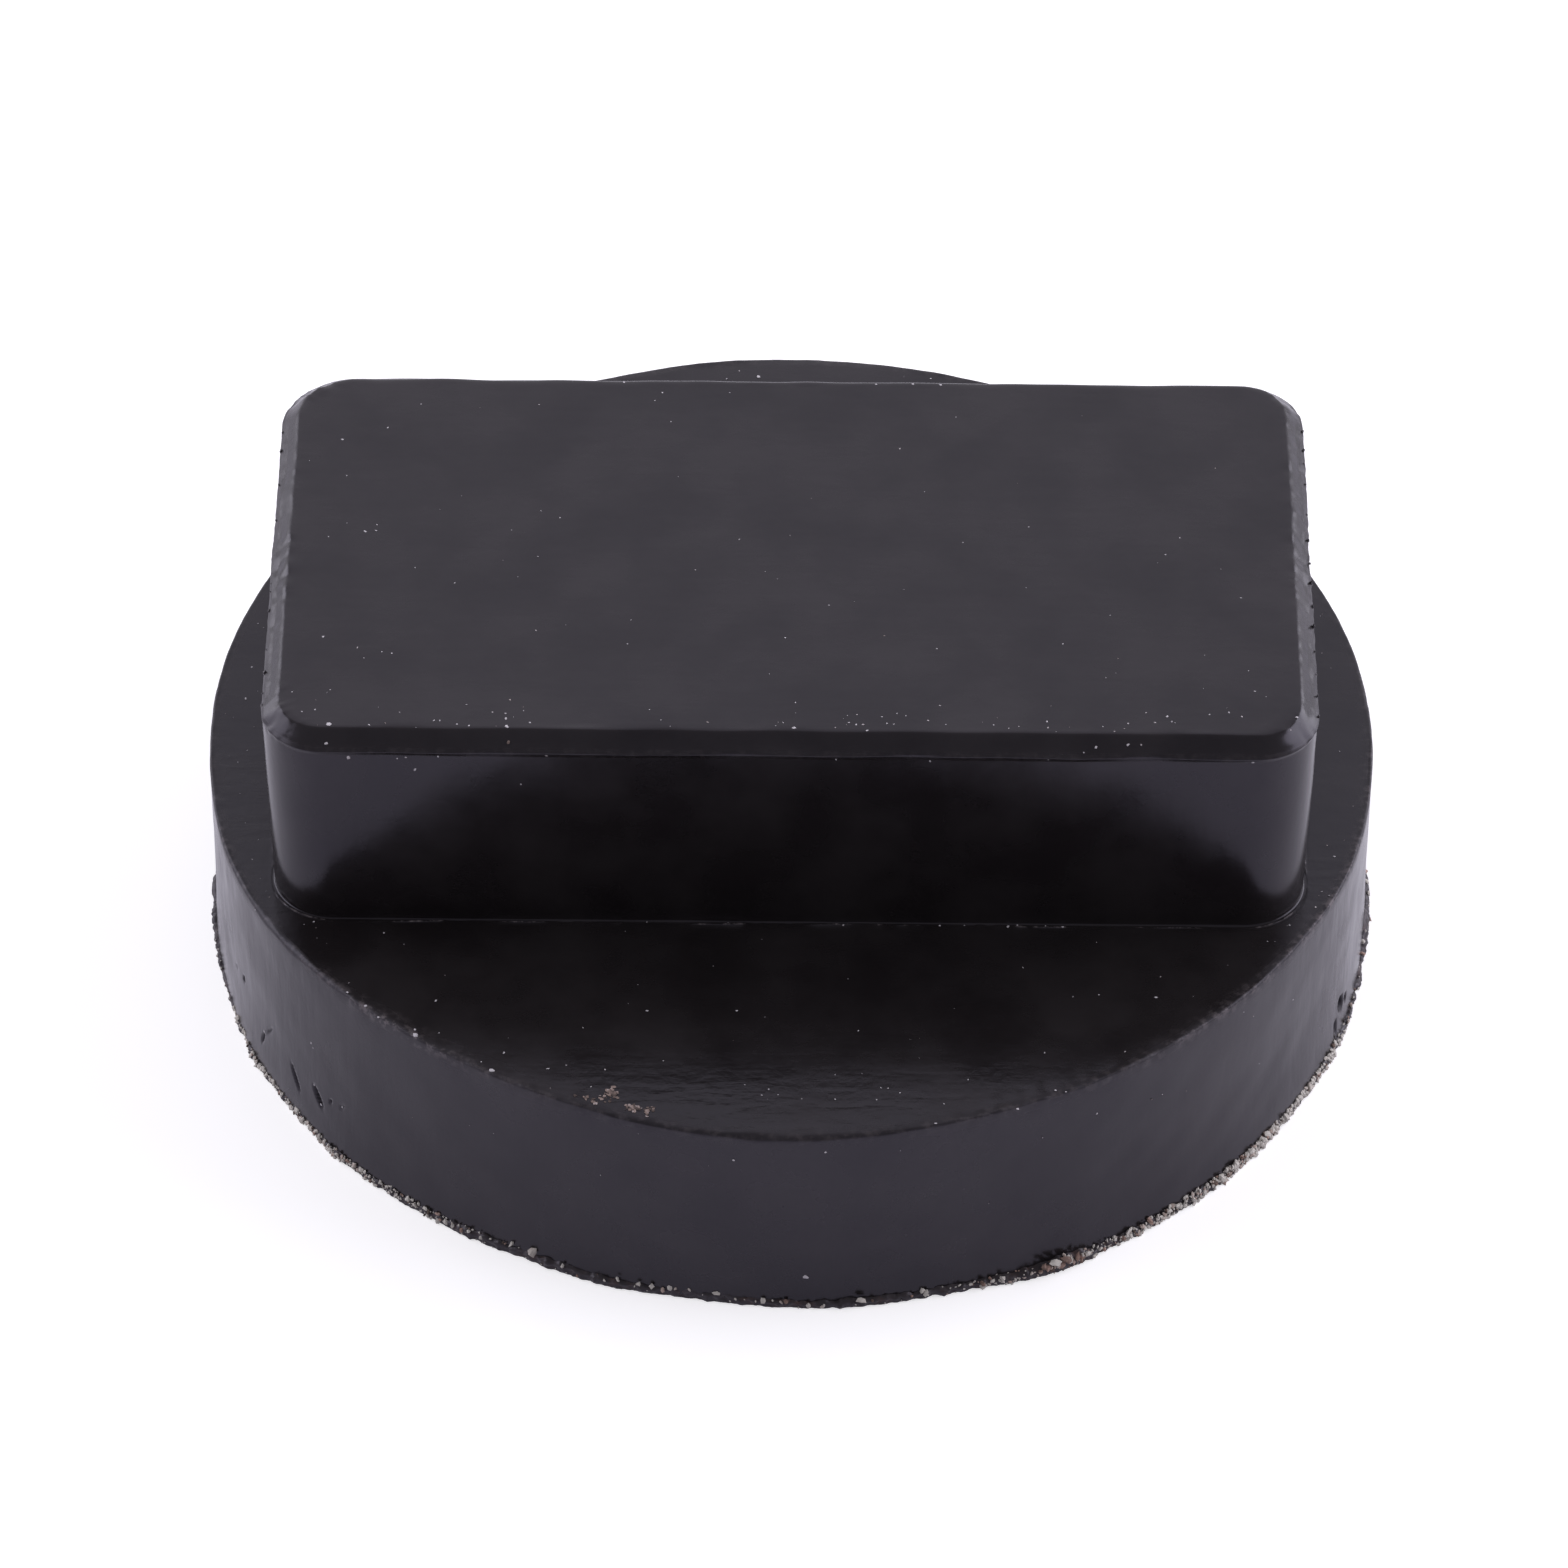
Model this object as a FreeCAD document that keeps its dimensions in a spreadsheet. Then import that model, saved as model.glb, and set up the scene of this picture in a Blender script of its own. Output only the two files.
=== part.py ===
"""Jack pad adapter: one piece of black rubber, a round puck with a rectangular block on its top.

The puck sits on the saddle of a trolley jack, and the block plugs into the jacking socket under a
car's sill. Lengths are in millimetres and angles in degrees. The origin is the centre of the flat
underside, +Z points up, and the block's long side lies along X.
"""
import FreeCAD, Part
import math
import os

import Sketcher

NODE = "jack_pad"

# Driving sizes: the sheet's alias, the value, and what it measures on the pad.
SIZES = (
    ("block_long", 55.0, "length of the block just below its top chamfer"),
    ("block_wide", 30.1, "width of the block just below its top chamfer"),
    ("block_rise", 12.8, "height of the block above the puck's shoulder"),
    ("block_corner", 3.3, "radius of the upright corners just below the top chamfer"),
    ("block_lean", 0.15, "how far each wall of the block leans in by its foot"),
    ("top_chamfer", 0.9, "chamfer round the block's top face"),
    ("foot_fillet", 0.25, "fillet where the block's walls meet the shoulder"),
    ("corner_ledge", 1.3, "shoulder left outside the block's corners, up to the puck's wall"),
    ("puck_thick", 12.1, "height of the shoulder above the underside"),
    ("puck_edge_round", 0.3, "rounding of the shoulder's outer edge"),
    ("flash_reach", 0.4, "how far the trimmed flash stands out of the puck's wall"),
    ("flash_thick", 0.7, "height of the flash band above the underside"),
    ("flash_slope", 0.08, "how far the flash's edge leans in over its height"),
    ("quarter_cuts", 8, "knife cuts that trim the flash in each quarter turn"),
    ("cut_uneven", 0.25, "how much the knife cuts differ in length, as a share of the mean"),
)

# Shares of the narrowest shoulder that the foot's fillet and the edge's rounding may take.
FILLET_SHARE = 0.6
EDGE_SHARE = 0.4

# Sizes worked out from the driving ones: the alias and the sheet's formula.
WORKED_OUT = (
    ("corner_x", "=block_long / 2 - block_corner"),
    ("corner_y", "=block_wide / 2 - block_corner"),
    ("puck_radius", "=sqrt(corner_x ^ 2 + corner_y ^ 2) + block_corner + corner_ledge"),
    ("wall_rise", "=block_rise - top_chamfer"),
    ("lean_angle", "=atan(block_lean / wall_rise)"),
    ("slope_angle", "=atan(flash_slope / flash_thick)"),
    ("foot_room", f"={FILLET_SHARE} * (corner_ledge + block_lean)"),
    ("edge_room", f"={EDGE_SHARE} * (corner_ledge + block_lean)"),
)

TURN = 360.0
QUARTERS = 4
QUARTER = TURN / QUARTERS
QUARTER_SHIFT = 77.0
UP = FreeCAD.Vector(0, 0, 1)
NEAR = 1e-4

# A sketch's own numbers for the points of a line or arc, and for its X axis, which starts at the origin.
START = 1
END = 2
CENTRE = 3
X_AXIS = -1


def make_sheet(doc):
    """Writes the driving sizes and the sizes worked out from them, each cell with its alias."""
    sheet = doc.addObject("Spreadsheet::Sheet", "Sizes")
    row = 1
    for alias, value, meaning in SIZES:
        sheet.set(f"A{row}", meaning)
        sheet.set(f"B{row}", str(value))
        sheet.setAlias(f"B{row}", alias)
        row += 1
    doc.recompute()
    for alias, formula in WORKED_OUT:
        sheet.set(f"A{row}", "worked out")
        sheet.set(f"B{row}", formula)
        sheet.setAlias(f"B{row}", alias)
        doc.recompute()
        row += 1
    return sheet


def new_sketch(body, name, level=None):
    """A sketch on the body's own XY plane, raised to a level that the sheet gives."""
    sketch = body.newObject("Sketcher::SketchObject", name)
    plane = next(face for face in body.Origin.OriginFeatures if face.Role == "XY_Plane")
    sketch.AttachmentSupport = [(plane, "")]
    sketch.MapMode = "FlatFace"
    if level:
        sketch.setExpression("AttachmentOffset.Base.z", level)
    return sketch


def bind(sketch, index, name, formula):
    """Names one dimension of the sketch and ties it to the sheet."""
    sketch.renameConstraint(index, name)
    sketch.setExpression(f"Constraints.{name}", formula)


def draw_circle(sketch, radius, formula, name):
    """A circle round the origin."""
    circle = sketch.addGeometry(Part.Circle(FreeCAD.Vector(), UP, radius))
    sketch.addConstraint(Sketcher.Constraint("Coincident", circle, CENTRE, X_AXIS, START))
    bind(sketch, sketch.addConstraint(Sketcher.Constraint("Radius", circle, radius)), name, formula)
    return circle


def draw_rounded_rectangle(sketch, half_x, half_y, corner):
    """Four straight sides joined by tangent corner arcs, centred on the origin.

    The three numbers only start the sketch near its solution: the sheet sets the dimensions.
    """
    cx = half_x - corner
    cy = half_y - corner
    arcs = []
    for quarter, (x, y) in enumerate(((cx, -cy), (cx, cy), (-cx, cy), (-cx, -cy)), start=-1):
        start = math.radians(quarter * QUARTER)
        end = math.radians((quarter + 1) * QUARTER)
        circle = Part.Circle(FreeCAD.Vector(x, y, 0), UP, corner)
        arcs.append(sketch.addGeometry(Part.ArcOfCircle(circle, start, end)))
    sides = []
    for place, arc in enumerate(arcs):
        leaving = sketch.getPoint(arc, END)
        arriving = sketch.getPoint(arcs[(place + 1) % len(arcs)], START)
        sides.append(sketch.addGeometry(Part.LineSegment(leaving, arriving)))
    for place, side in enumerate(sides):
        sketch.addConstraint(Sketcher.Constraint("Tangent", arcs[place], END, side, START))
        following = arcs[(place + 1) % len(arcs)]
        sketch.addConstraint(Sketcher.Constraint("Tangent", side, END, following, START))
        direction = "Vertical" if place % 2 == 0 else "Horizontal"
        sketch.addConstraint(Sketcher.Constraint(direction, side))
    for arc in arcs[1:]:
        sketch.addConstraint(Sketcher.Constraint("Equal", arcs[0], arc))
    opposite = Sketcher.Constraint("Symmetric", arcs[1], CENTRE, arcs[3], CENTRE, X_AXIS, START)
    sketch.addConstraint(opposite)
    return arcs


def pad(body, sketch, name, length, taper=None):
    """Raises a sketch to a solid; a taper above zero widens it on its way up, one below narrows it."""
    feature = body.newObject("PartDesign::Pad", name)
    feature.Profile = sketch
    feature.setExpression("Length", length)
    if taper:
        feature.setExpression("TaperAngle", taper)
    sketch.Visibility = False


def level_edges(shape, level, keep):
    """Names of the edges that lie at one level and whose middle passes the test."""
    names = []
    for number, edge in enumerate(shape.Edges, start=1):
        box = edge.BoundBox
        flat = abs(box.ZMin - level) < NEAR and abs(box.ZMax - level) < NEAR
        middle = edge.valueAt((edge.FirstParameter + edge.LastParameter) / 2)
        if flat and keep(middle.x, middle.y):
            names.append(f"Edge{number}")
    return names


def dress(body, kind, name, base, edges):
    """A fillet or chamfer on named edges of the body's last feature."""
    feature = body.newObject(kind, name)
    feature.Base = (base, edges)
    return feature


def make_puck(doc, body, sheet):
    """The round foot of the pad, a plain upright cylinder."""
    outline = new_sketch(body, "PuckOutline")
    draw_circle(outline, sheet.puck_radius, "Sizes.puck_radius", "puck_radius")
    pad(body, outline, "Puck", "Sizes.puck_thick")
    doc.recompute()


def make_block(doc, body, sheet):
    """The block: narrower at its foot, so its walls lean out towards the top face."""
    outline = new_sketch(body, "BlockFoot", "Sizes.puck_thick")
    foot_x = sheet.block_long / 2 - sheet.block_lean
    foot_y = sheet.block_wide / 2 - sheet.block_lean
    arcs = draw_rounded_rectangle(outline, foot_x, foot_y, sheet.block_corner - sheet.block_lean)
    dimensions = (
        ("DistanceX", (arcs[2], CENTRE, arcs[1], CENTRE), 2 * sheet.corner_x, "between_corners_x",
         "2 * Sizes.corner_x"),
        ("DistanceY", (arcs[0], CENTRE, arcs[1], CENTRE), 2 * sheet.corner_y, "between_corners_y",
         "2 * Sizes.corner_y"),
        ("Radius", (arcs[0],), sheet.block_corner - sheet.block_lean, "foot_corner",
         "Sizes.block_corner - Sizes.block_lean"),
    )
    for kind, ends, value, name, formula in dimensions:
        bind(outline, outline.addConstraint(Sketcher.Constraint(kind, *ends, value)), name, formula)
    pad(body, outline, "Block", "Sizes.block_rise", "Sizes.lean_angle")
    doc.recompute()


def make_flash(doc, body, sheet):
    """The thin flash round the underside, trimmed by straight knife cuts of uneven length.

    Its corners lie on one circle, and a corner falls on each axis, so the pad's box stays centred.
    Within a quarter turn the cuts' steps swing round their mean by a cosine that adds up to nothing.
    """
    outline = new_sketch(body, "FlashTrim")
    reach = sheet.puck_radius + sheet.flash_reach
    circle = draw_circle(outline, reach, "Sizes.puck_radius + Sizes.flash_reach", "flash_radius")
    outline.setConstruction(circle, True)
    cuts = int(round(sheet.quarter_cuts))
    angle = 0.0
    corners = []
    steps = []
    for quarter in range(QUARTERS):
        for cut in range(cuts):
            swing = math.cos(math.radians(TURN * cut / cuts + QUARTER_SHIFT * quarter))
            corners.append(FreeCAD.Rotation(UP, angle).multVec(FreeCAD.Vector(reach, 0, 0)))
            steps.append(f"{QUARTER / cuts} deg * (1 + Sizes.cut_uneven * {swing:.4f})")
            angle += QUARTER / cuts * (1 + sheet.cut_uneven * swing)
    sides = []
    for place, corner in enumerate(corners):
        following = corners[(place + 1) % len(corners)]
        sides.append(outline.addGeometry(Part.LineSegment(corner, following)))
    for place, side in enumerate(sides):
        following = sides[(place + 1) % len(sides)]
        outline.addConstraint(Sketcher.Constraint("Coincident", side, END, following, START))
        outline.addConstraint(Sketcher.Constraint("PointOnObject", side, START, circle))
    outline.addConstraint(Sketcher.Constraint("PointOnObject", sides[0], START, X_AXIS))
    for side, step in list(zip(sides, steps))[:-1]:
        chord = outline.Geometry[side].length()
        index = outline.addConstraint(Sketcher.Constraint("Distance", side, chord))
        bind(outline, index, f"cut_{side}", f"2 * Constraints.flash_radius * sin({step} / 2)")
    pad(body, outline, "Flash", "Sizes.flash_thick", "-Sizes.slope_angle")
    doc.recompute()


def finish_edges(doc, body, sheet):
    """The fillet at the block's foot, the chamfer round its top and the puck's rounded edge."""
    shoulder = sheet.puck_thick
    top = sheet.puck_thick + sheet.block_rise

    def in_block(x, y):
        return abs(x) < sheet.block_long / 2 and abs(y) < sheet.block_wide / 2

    def at_wall(x, y):
        return abs((x * x + y * y) ** 0.5 - sheet.puck_radius) < NEAR

    base = body.Tip
    edges = level_edges(base.Shape, shoulder, in_block)
    fillet = dress(body, "PartDesign::Fillet", "FootFillet", base, edges)
    fillet.setExpression("Radius", "min(Sizes.foot_fillet; Sizes.foot_room)")
    doc.recompute()
    edges = level_edges(fillet.Shape, top, lambda x, y: True)
    chamfer = dress(body, "PartDesign::Chamfer", "TopChamfer", fillet, edges)
    chamfer.setExpression("Size", "Sizes.top_chamfer")
    doc.recompute()
    edges = level_edges(chamfer.Shape, shoulder, at_wall)
    rounding = dress(body, "PartDesign::Fillet", "PuckEdge", chamfer, edges)
    rounding.setExpression("Radius", "min(Sizes.puck_edge_round; Sizes.edge_room)")
    doc.recompute()


def check(doc, body):
    """Stops before anything is written if a feature failed or the solid isn't sound."""
    for thing in doc.Objects:
        for state in ("Invalid", "Error"):
            if state in thing.State:
                raise RuntimeError(f"{thing.Name} failed: {thing.State}")
    shape = body.Shape
    if shape.isNull() or not shape.isValid() or len(shape.Solids) != 1:
        raise RuntimeError(f"{body.Label} isn't one sound solid")


def main():
    doc = FreeCAD.newDocument("jack_pad_adapter")
    sheet = make_sheet(doc)
    body = doc.addObject("PartDesign::Body", "JackPad")
    body.Label = NODE
    make_puck(doc, body, sheet)
    make_flash(doc, body, sheet)
    make_block(doc, body, sheet)
    finish_edges(doc, body, sheet)
    check(doc, body)
    os.makedirs("parts", exist_ok=True)
    body.Shape.exportStep(f"parts/{body.Label}.step")
    box = body.Shape.optimalBoundingBox()
    print(f"{body.Label}: {box.XLength:.2f} x {box.YLength:.2f} x {box.ZLength:.2f} mm,"
          f" volume {body.Shape.Volume:.0f} mm3")


main()
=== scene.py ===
"""Jack pad adapter in moulded black rubber: its skin, its trimmed flash, the grit and the dust on it.

Shapes are worked out in millimetres, with the pad's underside at height 0 and its block's long side
along X, and are put into the meshes in metres. Directions run counter-clockwise from +X, seen from
above, so the front that faces the camera is at 270 degrees.
"""

import math

import bpy
import numpy as np
from mathutils import Matrix, Vector


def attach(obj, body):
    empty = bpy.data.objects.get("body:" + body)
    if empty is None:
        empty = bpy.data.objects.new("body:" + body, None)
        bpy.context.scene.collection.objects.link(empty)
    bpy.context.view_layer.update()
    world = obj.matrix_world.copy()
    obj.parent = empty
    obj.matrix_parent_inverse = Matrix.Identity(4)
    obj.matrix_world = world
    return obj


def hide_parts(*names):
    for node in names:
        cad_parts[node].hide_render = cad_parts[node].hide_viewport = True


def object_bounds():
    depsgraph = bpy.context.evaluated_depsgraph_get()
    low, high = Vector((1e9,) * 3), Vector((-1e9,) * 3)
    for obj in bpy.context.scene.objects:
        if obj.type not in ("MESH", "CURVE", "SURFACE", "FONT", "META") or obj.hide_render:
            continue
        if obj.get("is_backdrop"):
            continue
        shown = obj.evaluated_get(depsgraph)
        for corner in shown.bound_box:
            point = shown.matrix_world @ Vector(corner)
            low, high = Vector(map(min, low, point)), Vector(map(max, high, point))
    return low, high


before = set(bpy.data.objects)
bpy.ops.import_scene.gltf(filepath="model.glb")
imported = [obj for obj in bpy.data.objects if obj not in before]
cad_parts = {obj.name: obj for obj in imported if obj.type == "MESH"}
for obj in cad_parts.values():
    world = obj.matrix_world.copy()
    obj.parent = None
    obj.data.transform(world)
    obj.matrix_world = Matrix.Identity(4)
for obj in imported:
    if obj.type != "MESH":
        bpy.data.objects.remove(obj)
cad_low, cad_high = (list(corner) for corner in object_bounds())

MM = 0.001
TAU = 2 * math.pi
TINY = 1e-9
SEED = 20

# Real sizes of the pad, in millimetres.
PAD_RISE = cad_high[2] / MM
BOX_REACH = cad_high[0] / MM
PUCK_RADIUS = 31.5
PUCK_THICK = 12.1
BLOCK_LONG = 55.0
BLOCK_WIDE = 30.1
BLOCK_CORNER = 3.3
TOP_CHAMFER = 0.9
FOOT_FILLET = 0.09
FLASH_THICK = 0.52
PARTING_RISE = PAD_RISE - TOP_CHAMFER
# The top face stays this far under the solid's, which leaves room for the specks on it.
SPECK_ROOM = 0.04
TOP_LEVEL = PAD_RISE - SPECK_ROOM
# Every vertex stays at least this far inside the solid's box.
BOX_GAP = 0.002


def linear(hex_colour):
    """An sRGB hex value as a linear RGBA colour."""
    channels = [int(hex_colour[i:i + 2], 16) / 255 for i in (1, 3, 5)]
    return [c / 12.92 if c <= 0.04045 else ((c + 0.055) / 1.055) ** 2.4 for c in channels] + [1.0]


def turn_from(angle, centre_deg):
    """Signed difference of an angle in radians from a direction in degrees, in degrees."""
    return (np.degrees(angle) - centre_deg + 180.0) % 360.0 - 180.0


def hump(angle, centre_deg, half_width_deg):
    """A bell curve round one direction: exp(-(difference / half width)^2)."""
    return np.exp(-(turn_from(angle, centre_deg) / half_width_deg) ** 2)


def humps(angle, table):
    """The sum of bell curves: each row gives a direction, a half width in degrees and a height."""
    return sum(height * hump(angle, centre, width) for centre, width, height in table)


def traced(angle, table, blur_deg=2.0):
    """A value traced round the pad: straight lines between the table's directions, blurred a little by
    a quarter, a half and a quarter of the values before, at and after each direction."""
    directions, values = np.array(table).T
    degrees = np.degrees(angle)
    steps = ((-blur_deg, 0.25), (0.0, 0.5), (blur_deg, 0.25))
    return sum(share * np.interp(degrees + shift, directions, values, period=360.0)
               for shift, share in steps)


def ramp(value, start, end):
    """0 below the start, 1 above the end, and a straight line between them."""
    return np.clip((value - start) / (end - start), 0, 1)


def round_points(radius, angle, *height):
    """Points at a distance from the axis in a direction: radius * cos, radius * sin, and the height
    if one is given."""
    return np.stack(np.broadcast_arrays(radius * np.cos(angle), radius * np.sin(angle), *height), -1)


# Smooth noise is made of this many waves, whose lengths lie between these shares of the wavelength.
WAVES = 14
WAVE_LENGTHS = (0.7, 1.4)


def wave_noise(points, wavelength, seed):
    """Smooth noise of about unit spread: sqrt(2 / waves) times the sum of sine waves in random
    directions, each of about the wavelength."""
    draw = np.random.default_rng(SEED + seed)
    directions = draw.normal(size=(WAVES, points.shape[-1]))
    directions /= np.linalg.norm(directions, axis=1, keepdims=True)
    lengths = wavelength * draw.uniform(*WAVE_LENGTHS, WAVES)
    phases = draw.uniform(0, TAU, WAVES)
    total = np.zeros(points.shape[:-1])
    for direction, length, phase in zip(directions, lengths, phases):
        total += np.sin(points @ direction * (TAU / length) + phase)
    return total * math.sqrt(2.0 / WAVES)


def ring_noise(angle, wavelength, seed):
    """The same noise along the puck's rim, so that it closes on itself."""
    return wave_noise(round_points(PUCK_RADIUS, angle), wavelength, seed)


# Large odd factors that mix a lattice cell's three indices, and then their sum, into a random value;
# the shift keeps the indices above zero.
INDEX_FACTORS = (73856093, 19349663, 83492791)
FIRST_MIX, FIRST_FOLD = np.uint64(2654435761), np.uint64(15)
SECOND_MIX, SECOND_FOLD = np.uint64(2246822519), np.uint64(20)
LATTICE_SHIFT = 4096
VALUE_STEPS = 0xFFFF


def cell_value(cells, seed):
    """A fixed random value from 0 to 1 for each cell of a cubic lattice, by mixing its indices."""
    x, y, z = ((cells[..., i] + LATTICE_SHIFT).astype(np.uint64) * np.uint64(factor)
               for i, factor in enumerate(INDEX_FACTORS))
    mixed = (x ^ y ^ z ^ np.uint64(SEED + seed)) * FIRST_MIX
    mixed = (mixed ^ (mixed >> FIRST_FOLD)) * SECOND_MIX
    return ((mixed >> SECOND_FOLD) & np.uint64(VALUE_STEPS)).astype(float) / VALUE_STEPS


def crumb_noise(points, size, seed):
    """Uneven noise from -1 to 1: random values at the corners of cubes of one size, blended between
    them by share^2 * (3 - 2 * share)."""
    scaled = points / size
    base = np.floor(scaled)
    share = scaled - base
    share = share * share * (3 - 2 * share)
    cells = base.astype(np.int64)
    total = np.zeros(points.shape[:-1])
    for corner in np.ndindex(2, 2, 2):
        weight = np.where(corner, share, 1 - share).prod(-1)
        total += weight * cell_value(cells + corner, seed)
    return 2 * total - 1


def layered(noise, place, layers):
    """The sum of layers of one noise: each row gives its height, its wavelength or crumb size in
    millimetres, and its seed."""
    return sum(height * noise(place, size, seed) for height, size, seed in layers)


def mostly_low(draw, count, least, spread, power):
    """Random values that are mostly near the least: least + spread * random^power."""
    return least + spread * draw.random(count) ** power


def share_out(density, count):
    """Places count points on 0..1 so that each takes an equal share of the summed density."""
    total = np.concatenate([[0.0], np.cumsum(density)])
    return np.interp(np.arange(count) / count, total / total[-1], np.linspace(0, 1, len(total)))


# Where the block's four sides stand at the parting line, beyond half its length or width, and how far
# each has drawn in by its foot.
RIGHT_OUT, RIGHT_LEAN = 0.02, 0.28
LEFT_OUT, LEFT_LEAN = 0.23, 0.3
BACK_OUT, BACK_LEAN = 0.0, 0.2
FRONT_OUT, FRONT_LEAN = 0.0, -0.05
# The block's back left corner is a little rounder than the others.
BACK_LEFT_ROUNDER = 0.8
LEAST_CORNER = 0.05


def block_outline(angle, offset, foot_share=0.0):
    """Distance from the axis to a rounded rectangle, for each direction.

    The rectangle is the block's outline at the parting line, moved outwards by the offset, and drawn
    in by the foot share of each side's lean. A ray meets an upright side at a / |cos|, a long side at
    b / |sin|, or the corner arc between them.
    """
    to_left = np.cos(angle) < 0
    to_front = np.sin(angle) < 0
    out_x = np.where(to_left, LEFT_OUT - foot_share * LEFT_LEAN, RIGHT_OUT - foot_share * RIGHT_LEAN)
    out_y = np.where(to_front, FRONT_OUT - foot_share * FRONT_LEAN, BACK_OUT - foot_share * BACK_LEAN)
    half_x = BLOCK_LONG / 2 + offset + out_x
    half_y = BLOCK_WIDE / 2 + offset + out_y
    rounder = np.where(to_left & ~to_front, BACK_LEFT_ROUNDER, 0.0)
    corner = np.maximum(BLOCK_CORNER + offset + rounder, LEAST_CORNER)
    cx = half_x - corner
    cy = half_y - corner
    c = np.maximum(np.abs(np.cos(angle)), TINY)
    s = np.maximum(np.abs(np.sin(angle)), TINY)
    side = half_x / c
    end = half_y / s
    along = cx * c + cy * s
    arc = along + np.sqrt(np.maximum(along ** 2 - cx ** 2 - cy ** 2 + corner ** 2, 0.0))
    return np.where(side * s <= cy, side, np.where(end * c <= cx, end, arc))


def outline_noise(angle, wavelength, seed):
    """Smooth noise along the block's outline."""
    return wave_noise(round_points(block_outline(angle, 0.0), angle), wavelength, seed)


# Columns of the skin stand closer together at the block's corners, where the wall is nicked, and a
# little on the side that faces the camera: direction, half width in degrees, extra density.
COLUMNS = 900
FINE_STEPS = 7200
CORNER_DIRECTION = math.degrees(
    math.atan2(BLOCK_WIDE / 2 - BLOCK_CORNER, BLOCK_LONG / 2 - BLOCK_CORNER))
CROWDED = (
    (CORNER_DIRECTION, 6.0, 1.2),
    (180 - CORNER_DIRECTION, 6.0, 1.2),
    (180 + CORNER_DIRECTION, 6.0, 1.0),
    (360 - CORNER_DIRECTION, 6.0, 1.2),
    (214.0, 6.5, 4.0),
    (340.0, 3.0, 2.5),
    (270.0, 80.0, 0.5),
)


def column_angles():
    """Directions of the skin's columns, from the density that the crowded places give."""
    fine = np.linspace(0, TAU, FINE_STEPS, endpoint=False)
    return TAU * share_out(1 + humps(fine, CROWDED), COLUMNS)


# Radius of the shoulder's edge, traced round the pad: direction in degrees, millimetres.
EDGE_TRACE = (
    (20, 31.5), (70, 31.4), (120, 31.55), (165, 31.5), (184, 31.5), (190, 31.6), (196, 31.74),
    (202, 31.78), (211, 31.7), (217, 31.42), (223, 31.28), (229, 31.05), (238, 30.92), (247, 30.95),
    (258, 31.2), (270, 31.32), (282, 31.2), (292, 31.12), (301, 31.28), (310, 31.3), (319, 31.4),
    (330, 31.5), (338, 31.68), (346, 31.6), (354, 31.42),
)
# Radius of the flash's outer edge at the underside, in the same terms.
FLASH_TRACE = (
    (10, 31.84), (40, 31.95), (75, 31.8), (100, 31.85), (140, 32.0), (170, 31.8), (180, 31.86),
    (192, 31.76), (198, 31.7), (204, 31.94), (213, 31.78), (222, 32.0), (228, 31.78), (236, 31.72),
    (243, 31.52), (252, 31.8), (261, 31.52), (270, 31.76), (276, 31.92), (282, 31.8), (288, 31.86),
    (293, 32.2), (297, 32.42), (301, 32.12), (308, 32.06), (318, 32.1), (330, 31.92), (337, 32.02),
    (343, 31.88), (349, 31.78), (356, 31.86),
)
EDGE_ROUND = 0.13
# Stretches where the shoulder's edge is worn rounder: direction, half width in degrees, millimetres.
EDGE_WORN = (
    (212.0, 9.0, 0.2),
    (268.0, 11.0, 0.22),
)
# Stretches where a thin pale line runs along the edge, partly dust and partly painted highlight:
# direction, half width in degrees, share; and the least share, all the way round.
EDGE_DUST_AND_HIGHLIGHT = (
    (200.0, 9.0, 0.3),
    (227.0, 9.0, 0.9),
    (318.0, 12.0, 0.45),
    (334.0, 9.0, 0.7),
    (352.0, 9.0, 0.4),
)
EDGE_DUST_AND_HIGHLIGHT_LEAST = 0.25
# Stretches where the edge is chipped and crumbly: direction, half width in degrees, millimetres; and
# the least, all the way round.
EDGE_CHIPPED = (
    (226.0, 5.0, 0.06),
    (237.0, 6.0, 0.05),
    (251.0, 7.0, 0.06),
    (290.0, 9.0, 0.045),
    (312.0, 16.0, 0.03),
)
EDGE_CHIPPED_LEAST = 0.012
# Where the block's corners are chipped along the parting line and the chamfer, in the same terms.
BLOCK_CHIPPED = (
    (205.0, 3.0, 0.06),
    (153.0, 3.0, 0.06),
    (333.5, 2.0, 0.03),
    (26.0, 3.0, 0.05),
    (180.0, 16.0, 0.04),
    (2.0, 16.0, 0.05),
)


# The wall's radius follows the edge's trace by this share, blurred by this many degrees.
WALL_FOLLOWS = 0.35
WALL_BLUR = 5.0


def wall_radius(angle):
    """Radius of the puck's wall above its flared foot."""
    return PUCK_RADIUS + WALL_FOLLOWS * (traced(angle, EDGE_TRACE, WALL_BLUR) - PUCK_RADIUS)


# How far the wall's foot flares out towards the flash's edge: direction in degrees, share of the way.
# The flare goes up to this height, and its traces are blurred by these degrees.
FLARE_TRACE = (
    (10, 0.2), (90, 0.3), (175, 0.2), (188, 0.3), (200, 0.8), (215, 0.85), (228, 0.7), (242, 0.5),
    (286, 0.5), (298, 0.6), (306, 0.8), (338, 0.85), (350, 0.3),
)
FLARE_RISE = 6.5
FLARE_BLUR = 4.0
FLARE_REACH_BLUR = 3.0


def foot_flare(angle, height):
    """How far the wall's foot stands out: share * reach of the flash * (1 - height / rise)^2."""
    reach = traced(angle, FLASH_TRACE, FLARE_REACH_BLUR) - wall_radius(angle)
    fall = np.clip(1 - height / FLARE_RISE, 0, 1) ** 2
    return traced(angle, FLARE_TRACE, FLARE_BLUR) * np.maximum(reach, 0.0) * fall


# Unevenness, here and below, is given in layers of height or share, wavelength and seed.
EDGE_UNEVEN = ((0.12, 2.4, 8),)


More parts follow.
